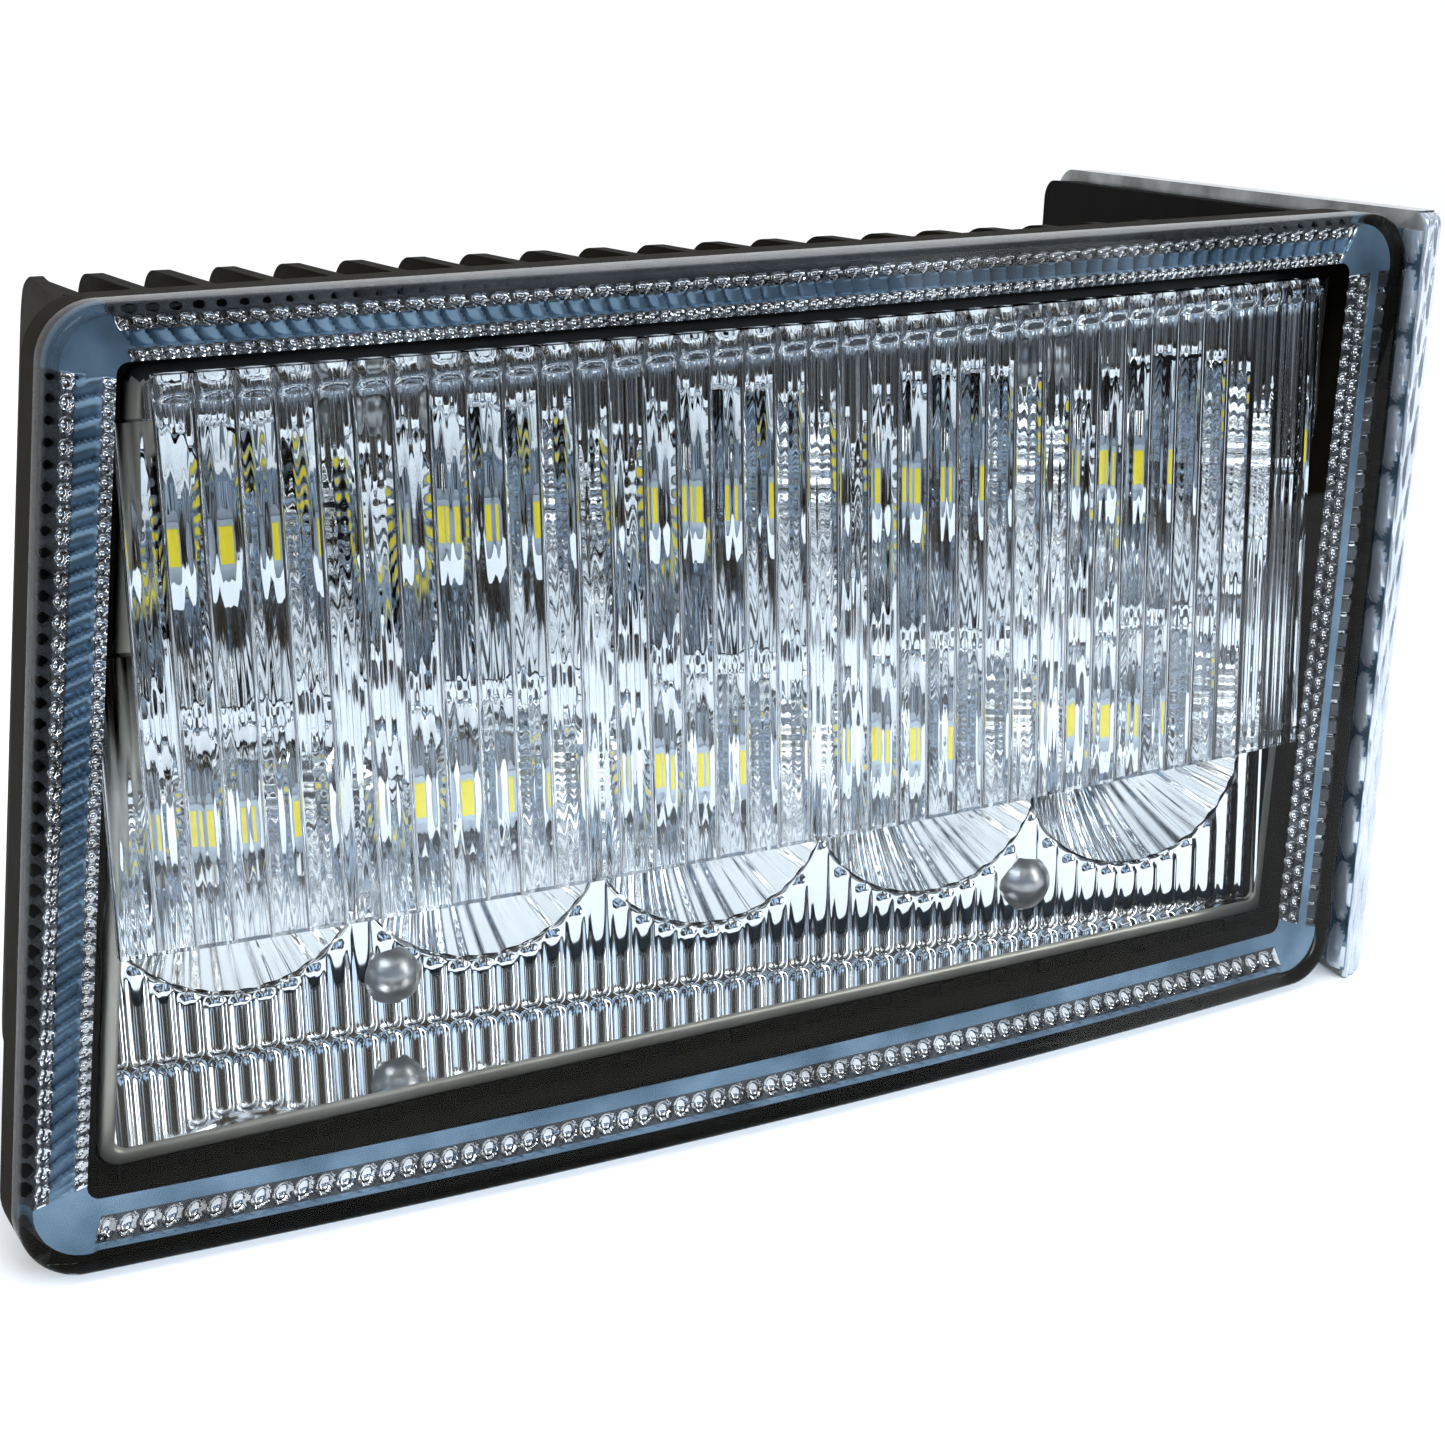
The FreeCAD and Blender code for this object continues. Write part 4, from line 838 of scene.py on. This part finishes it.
def make_side_lens():
    """The clear side plate, with rows of long facets moulded into its slanted front edge."""
    front_steps, edge_steps, arc_steps, levels = 300, 60, 12, 24
    outline, reach = side_outline(front_steps, edge_steps, arc_steps)
    total = len(outline)
    points, faces, facet_faces, grey_faces = [], [], [], []
    for level in range(levels + 1):
        x = SIDE_THICK * level / levels
        slant = SLANT_DEEP * max(0.0, x - (SIDE_THICK - SLANT_WIDE)) / SLANT_WIDE
        rounding = EDGE_ROUND_DEEP * (1 - smooth_step(min(x, SIDE_THICK - x) / EDGE_ROUND_WIDE))
        for index, (back, z) in enumerate(outline):
            shift = rounding
            if index <= front_steps:
                shift += EDGE_FACET_HIGH - facet(x, SIDE_THICK, z, EDGE_FACET_HALF_WIDE, EDGE_FACET_HIGH)
                above = max(0.0, z - (SIDE_TOP - SIDE_TOP_ROUND))
                shift += SIDE_TOP_ROUND - math.sqrt(SIDE_TOP_ROUND ** 2 - above ** 2)
            share = max(0.0, 1 - back / reach)
            points.append(side_point(x, SIDE_FRONT + back + (slant + shift) * share, z))
    for level in range(levels):
        facet_faces.extend(range(len(faces), len(faces) + front_steps))
        grey_faces.extend(range(len(faces) + total - edge_steps, len(faces) + total))
        stitch(faces, level * total, (level + 1) * total, total)
    grey_faces.append(len(faces))
    faces.append(list(range(total))[::-1])
    last = levels * total
    faces.append(list(range(last, last + total)))
    strip_points, strip_faces, domes = make_side_strip()
    dome_faces = {len(faces) + index for index in domes}
    ground_faces = set(range(len(faces), len(faces) + len(strip_faces))) - dome_faces
    facet_faces.extend(dome_faces)
    faces.extend([[index + len(points) for index in face] for face in strip_faces])
    points.extend(strip_points)
    # The facets get painted glints, the ground between them a painted blue-grey reflection, and the top
    # edge and inner face a painted grey reflection.
    return build("side_cover", points, faces, SIDE_CLEAR, "side_lens", 50.0,
                 ((FACET_PAINTED_GLINT, facet_faces), (BAND_PAINTED_REFLECTION, ground_faces), (EDGE_PAINTED_REFLECTION, grey_faces)))


make_front_lens()
make_fluted_plate()
make_mirror()
make_side_lens()


# ---------------------------------------------------------------- floor, light and camera

def make_floor():
    """A wide pale floor that curves up into a backdrop behind the lamp."""
    floor_z = cad_low.z
    wide, front, back, high, curve = 5.0, -0.34, 2.2, 3.0, 0.9
    profile = [(front, floor_z), (back - curve, floor_z)]
    for step in range(1, 13):
        angle = math.pi / 2 * step / 12
        profile.append((back - curve + curve * math.sin(angle),
                        floor_z + curve - curve * math.cos(angle)))
    profile.append((back, floor_z + high))
    points, faces = [], []
    for y, z in profile:
        points += [(-wide, y, z), (wide, y, z)]
    for index in range(len(profile) - 1):
        faces.append((2 * index, 2 * index + 1, 2 * index + 3, 2 * index + 2))
    mesh = bpy.data.meshes.new("floor")
    mesh.from_pydata(points, [], faces)
    mesh.shade_smooth()
    mesh.materials.append(surfaced("floor_white", (0.86, 0.86, 0.86), (0.88, 0.88, 0.88), (0.8, 0.9),
                                   0.0, 20.0, 0.0))
    floor = bpy.data.objects.new("floor", mesh)
    bpy.context.scene.collection.objects.link(floor)


def make_lamp(name, spot, size, power, colour):
    """A soft area light aimed at the lamp."""
    light = bpy.data.lights.new(name, "AREA")
    light.shape = "RECTANGLE"
    light.size, light.size_y = size
    light.energy = power
    light.color = colour
    holder = bpy.data.objects.new(name, light)
    holder.location = spot
    holder.rotation_mode = "QUATERNION"
    holder.rotation_quaternion = (-Vector(spot)).to_track_quat("-Z", "Y")
    bpy.context.scene.collection.objects.link(holder)
    return holder


def make_lights():
    make_lamp("key", (-0.9, -1.1, 1.2), (0.9, 0.5), 9.0, (0.92, 0.96, 1.0))
    sky = make_lamp("sky", (0.3, -0.5, 1.6), (1.6, 0.7), 14.0, (0.8, 0.9, 1.0))
    sky.visible_glossy = False
    sky.visible_transmission = False
    make_lamp("side", (1.2, -1.2, 0.5), (0.35, 1.0), 4.0, (1.0, 0.97, 0.92))
    make_world()


def make_world():
    """Even white light all round; mirrors and clear parts see a room of blue, white and brown."""
    world = bpy.data.worlds.new("studio")
    world.use_nodes = True
    tree = world.node_tree
    even = tree.nodes["Background"]
    even.inputs["Color"].default_value = (0.97, 0.985, 1.0, 1.0)
    even.inputs["Strength"].default_value = 0.9
    place = tree.nodes.new("ShaderNodeTexCoord")
    parts = tree.nodes.new("ShaderNodeSeparateXYZ")
    tree.links.new(place.outputs["Generated"], parts.inputs["Vector"])
    height = tree.nodes.new("ShaderNodeMapRange")
    height.inputs["From Min"].default_value = -1.0
    tree.links.new(parts.outputs["Z"], height.inputs["Value"])
    room = ramp(tree, height.outputs["Result"],
                [(0.0, (0.20, 0.15, 0.11)), (0.40, (0.10, 0.085, 0.07)), (0.5, (0.30, 0.36, 0.44)),
                 (0.62, (0.45, 0.62, 0.86)), (0.8, (0.95, 0.98, 1.0)), (1.0, (0.45, 0.58, 0.75))])
    texture = tree.nodes.new("ShaderNodeTexNoise")
    texture.inputs["Scale"].default_value = 4.2
    texture.inputs["Detail"].default_value = 2.0
    tree.links.new(place.outputs["Generated"], texture.inputs["Vector"])
    patches = ramp(tree, texture.outputs["Fac"],
                   [(0.475, (0.07, 0.05, 0.033)), (0.535, (0.6, 0.57, 0.53)), (0.60, (1.0, 1.0, 1.0))])
    product = tree.nodes.new("ShaderNodeMix")
    product.data_type = "RGBA"
    product.blend_type = "MULTIPLY"
    product.inputs["Factor"].default_value = 1.0
    tree.links.new(room, product.inputs["A"])
    tree.links.new(patches, product.inputs["B"])
    seen = tree.nodes.new("ShaderNodeBackground")
    seen.inputs["Strength"].default_value = 1.5
    tree.links.new(product.outputs["Result"], seen.inputs["Color"])
    rays = tree.nodes.new("ShaderNodeLightPath")
    either = tree.nodes.new("ShaderNodeMath")
    either.operation = "MAXIMUM"
    tree.links.new(rays.outputs["Is Glossy Ray"], either.inputs[0])
    tree.links.new(rays.outputs["Is Transmission Ray"], either.inputs[1])
    mix = tree.nodes.new("ShaderNodeMixShader")
    tree.links.new(either.outputs["Value"], mix.inputs["Fac"])
    tree.links.new(even.outputs["Background"], mix.inputs[1])
    tree.links.new(seen.outputs["Background"], mix.inputs[2])
    tree.links.new(mix.outputs["Shader"], tree.nodes["World Output"].inputs["Surface"])
    bpy.context.scene.world = world


def make_camera():
    """A camera at the front left, a little above, rolled by a degree."""
    azimuth, elevation, roll = math.radians(19.88), math.radians(16.13), math.radians(0.99)
    position = Vector((-0.1482, -0.4567, 0.1153))
    forward = Vector((math.sin(azimuth) * math.cos(elevation), math.cos(azimuth) * math.cos(elevation),
                      -math.sin(elevation)))
    right = forward.cross(Vector((0, 0, 1))).normalized()
    up = right.cross(forward)
    turned_right = right * math.cos(roll) - up * math.sin(roll)
    turned_up = up * math.cos(roll) + right * math.sin(roll)
    data = bpy.data.cameras.new("camera")
    data.lens = 62.5
    data.sensor_width = 36.0
    data.clip_start = 0.01
    data.clip_end = 50.0
    camera = bpy.data.objects.new("camera", data)
    camera.matrix_world = Matrix((
        (turned_right.x, turned_up.x, -forward.x, position.x),
        (turned_right.y, turned_up.y, -forward.y, position.y),
        (turned_right.z, turned_up.z, -forward.z, position.z),
        (0, 0, 0, 1)))
    bpy.context.scene.collection.objects.link(camera)
    bpy.context.scene.camera = camera


make_floor()
make_lights()
make_camera()
bpy.context.scene.view_settings.view_transform = "Standard"
bpy.context.scene.view_settings.look = "Medium High Contrast"
bpy.context.scene.cycles.max_bounces = 10
bpy.context.scene.cycles.diffuse_bounces = 2
bpy.context.scene.cycles.glossy_bounces = 5
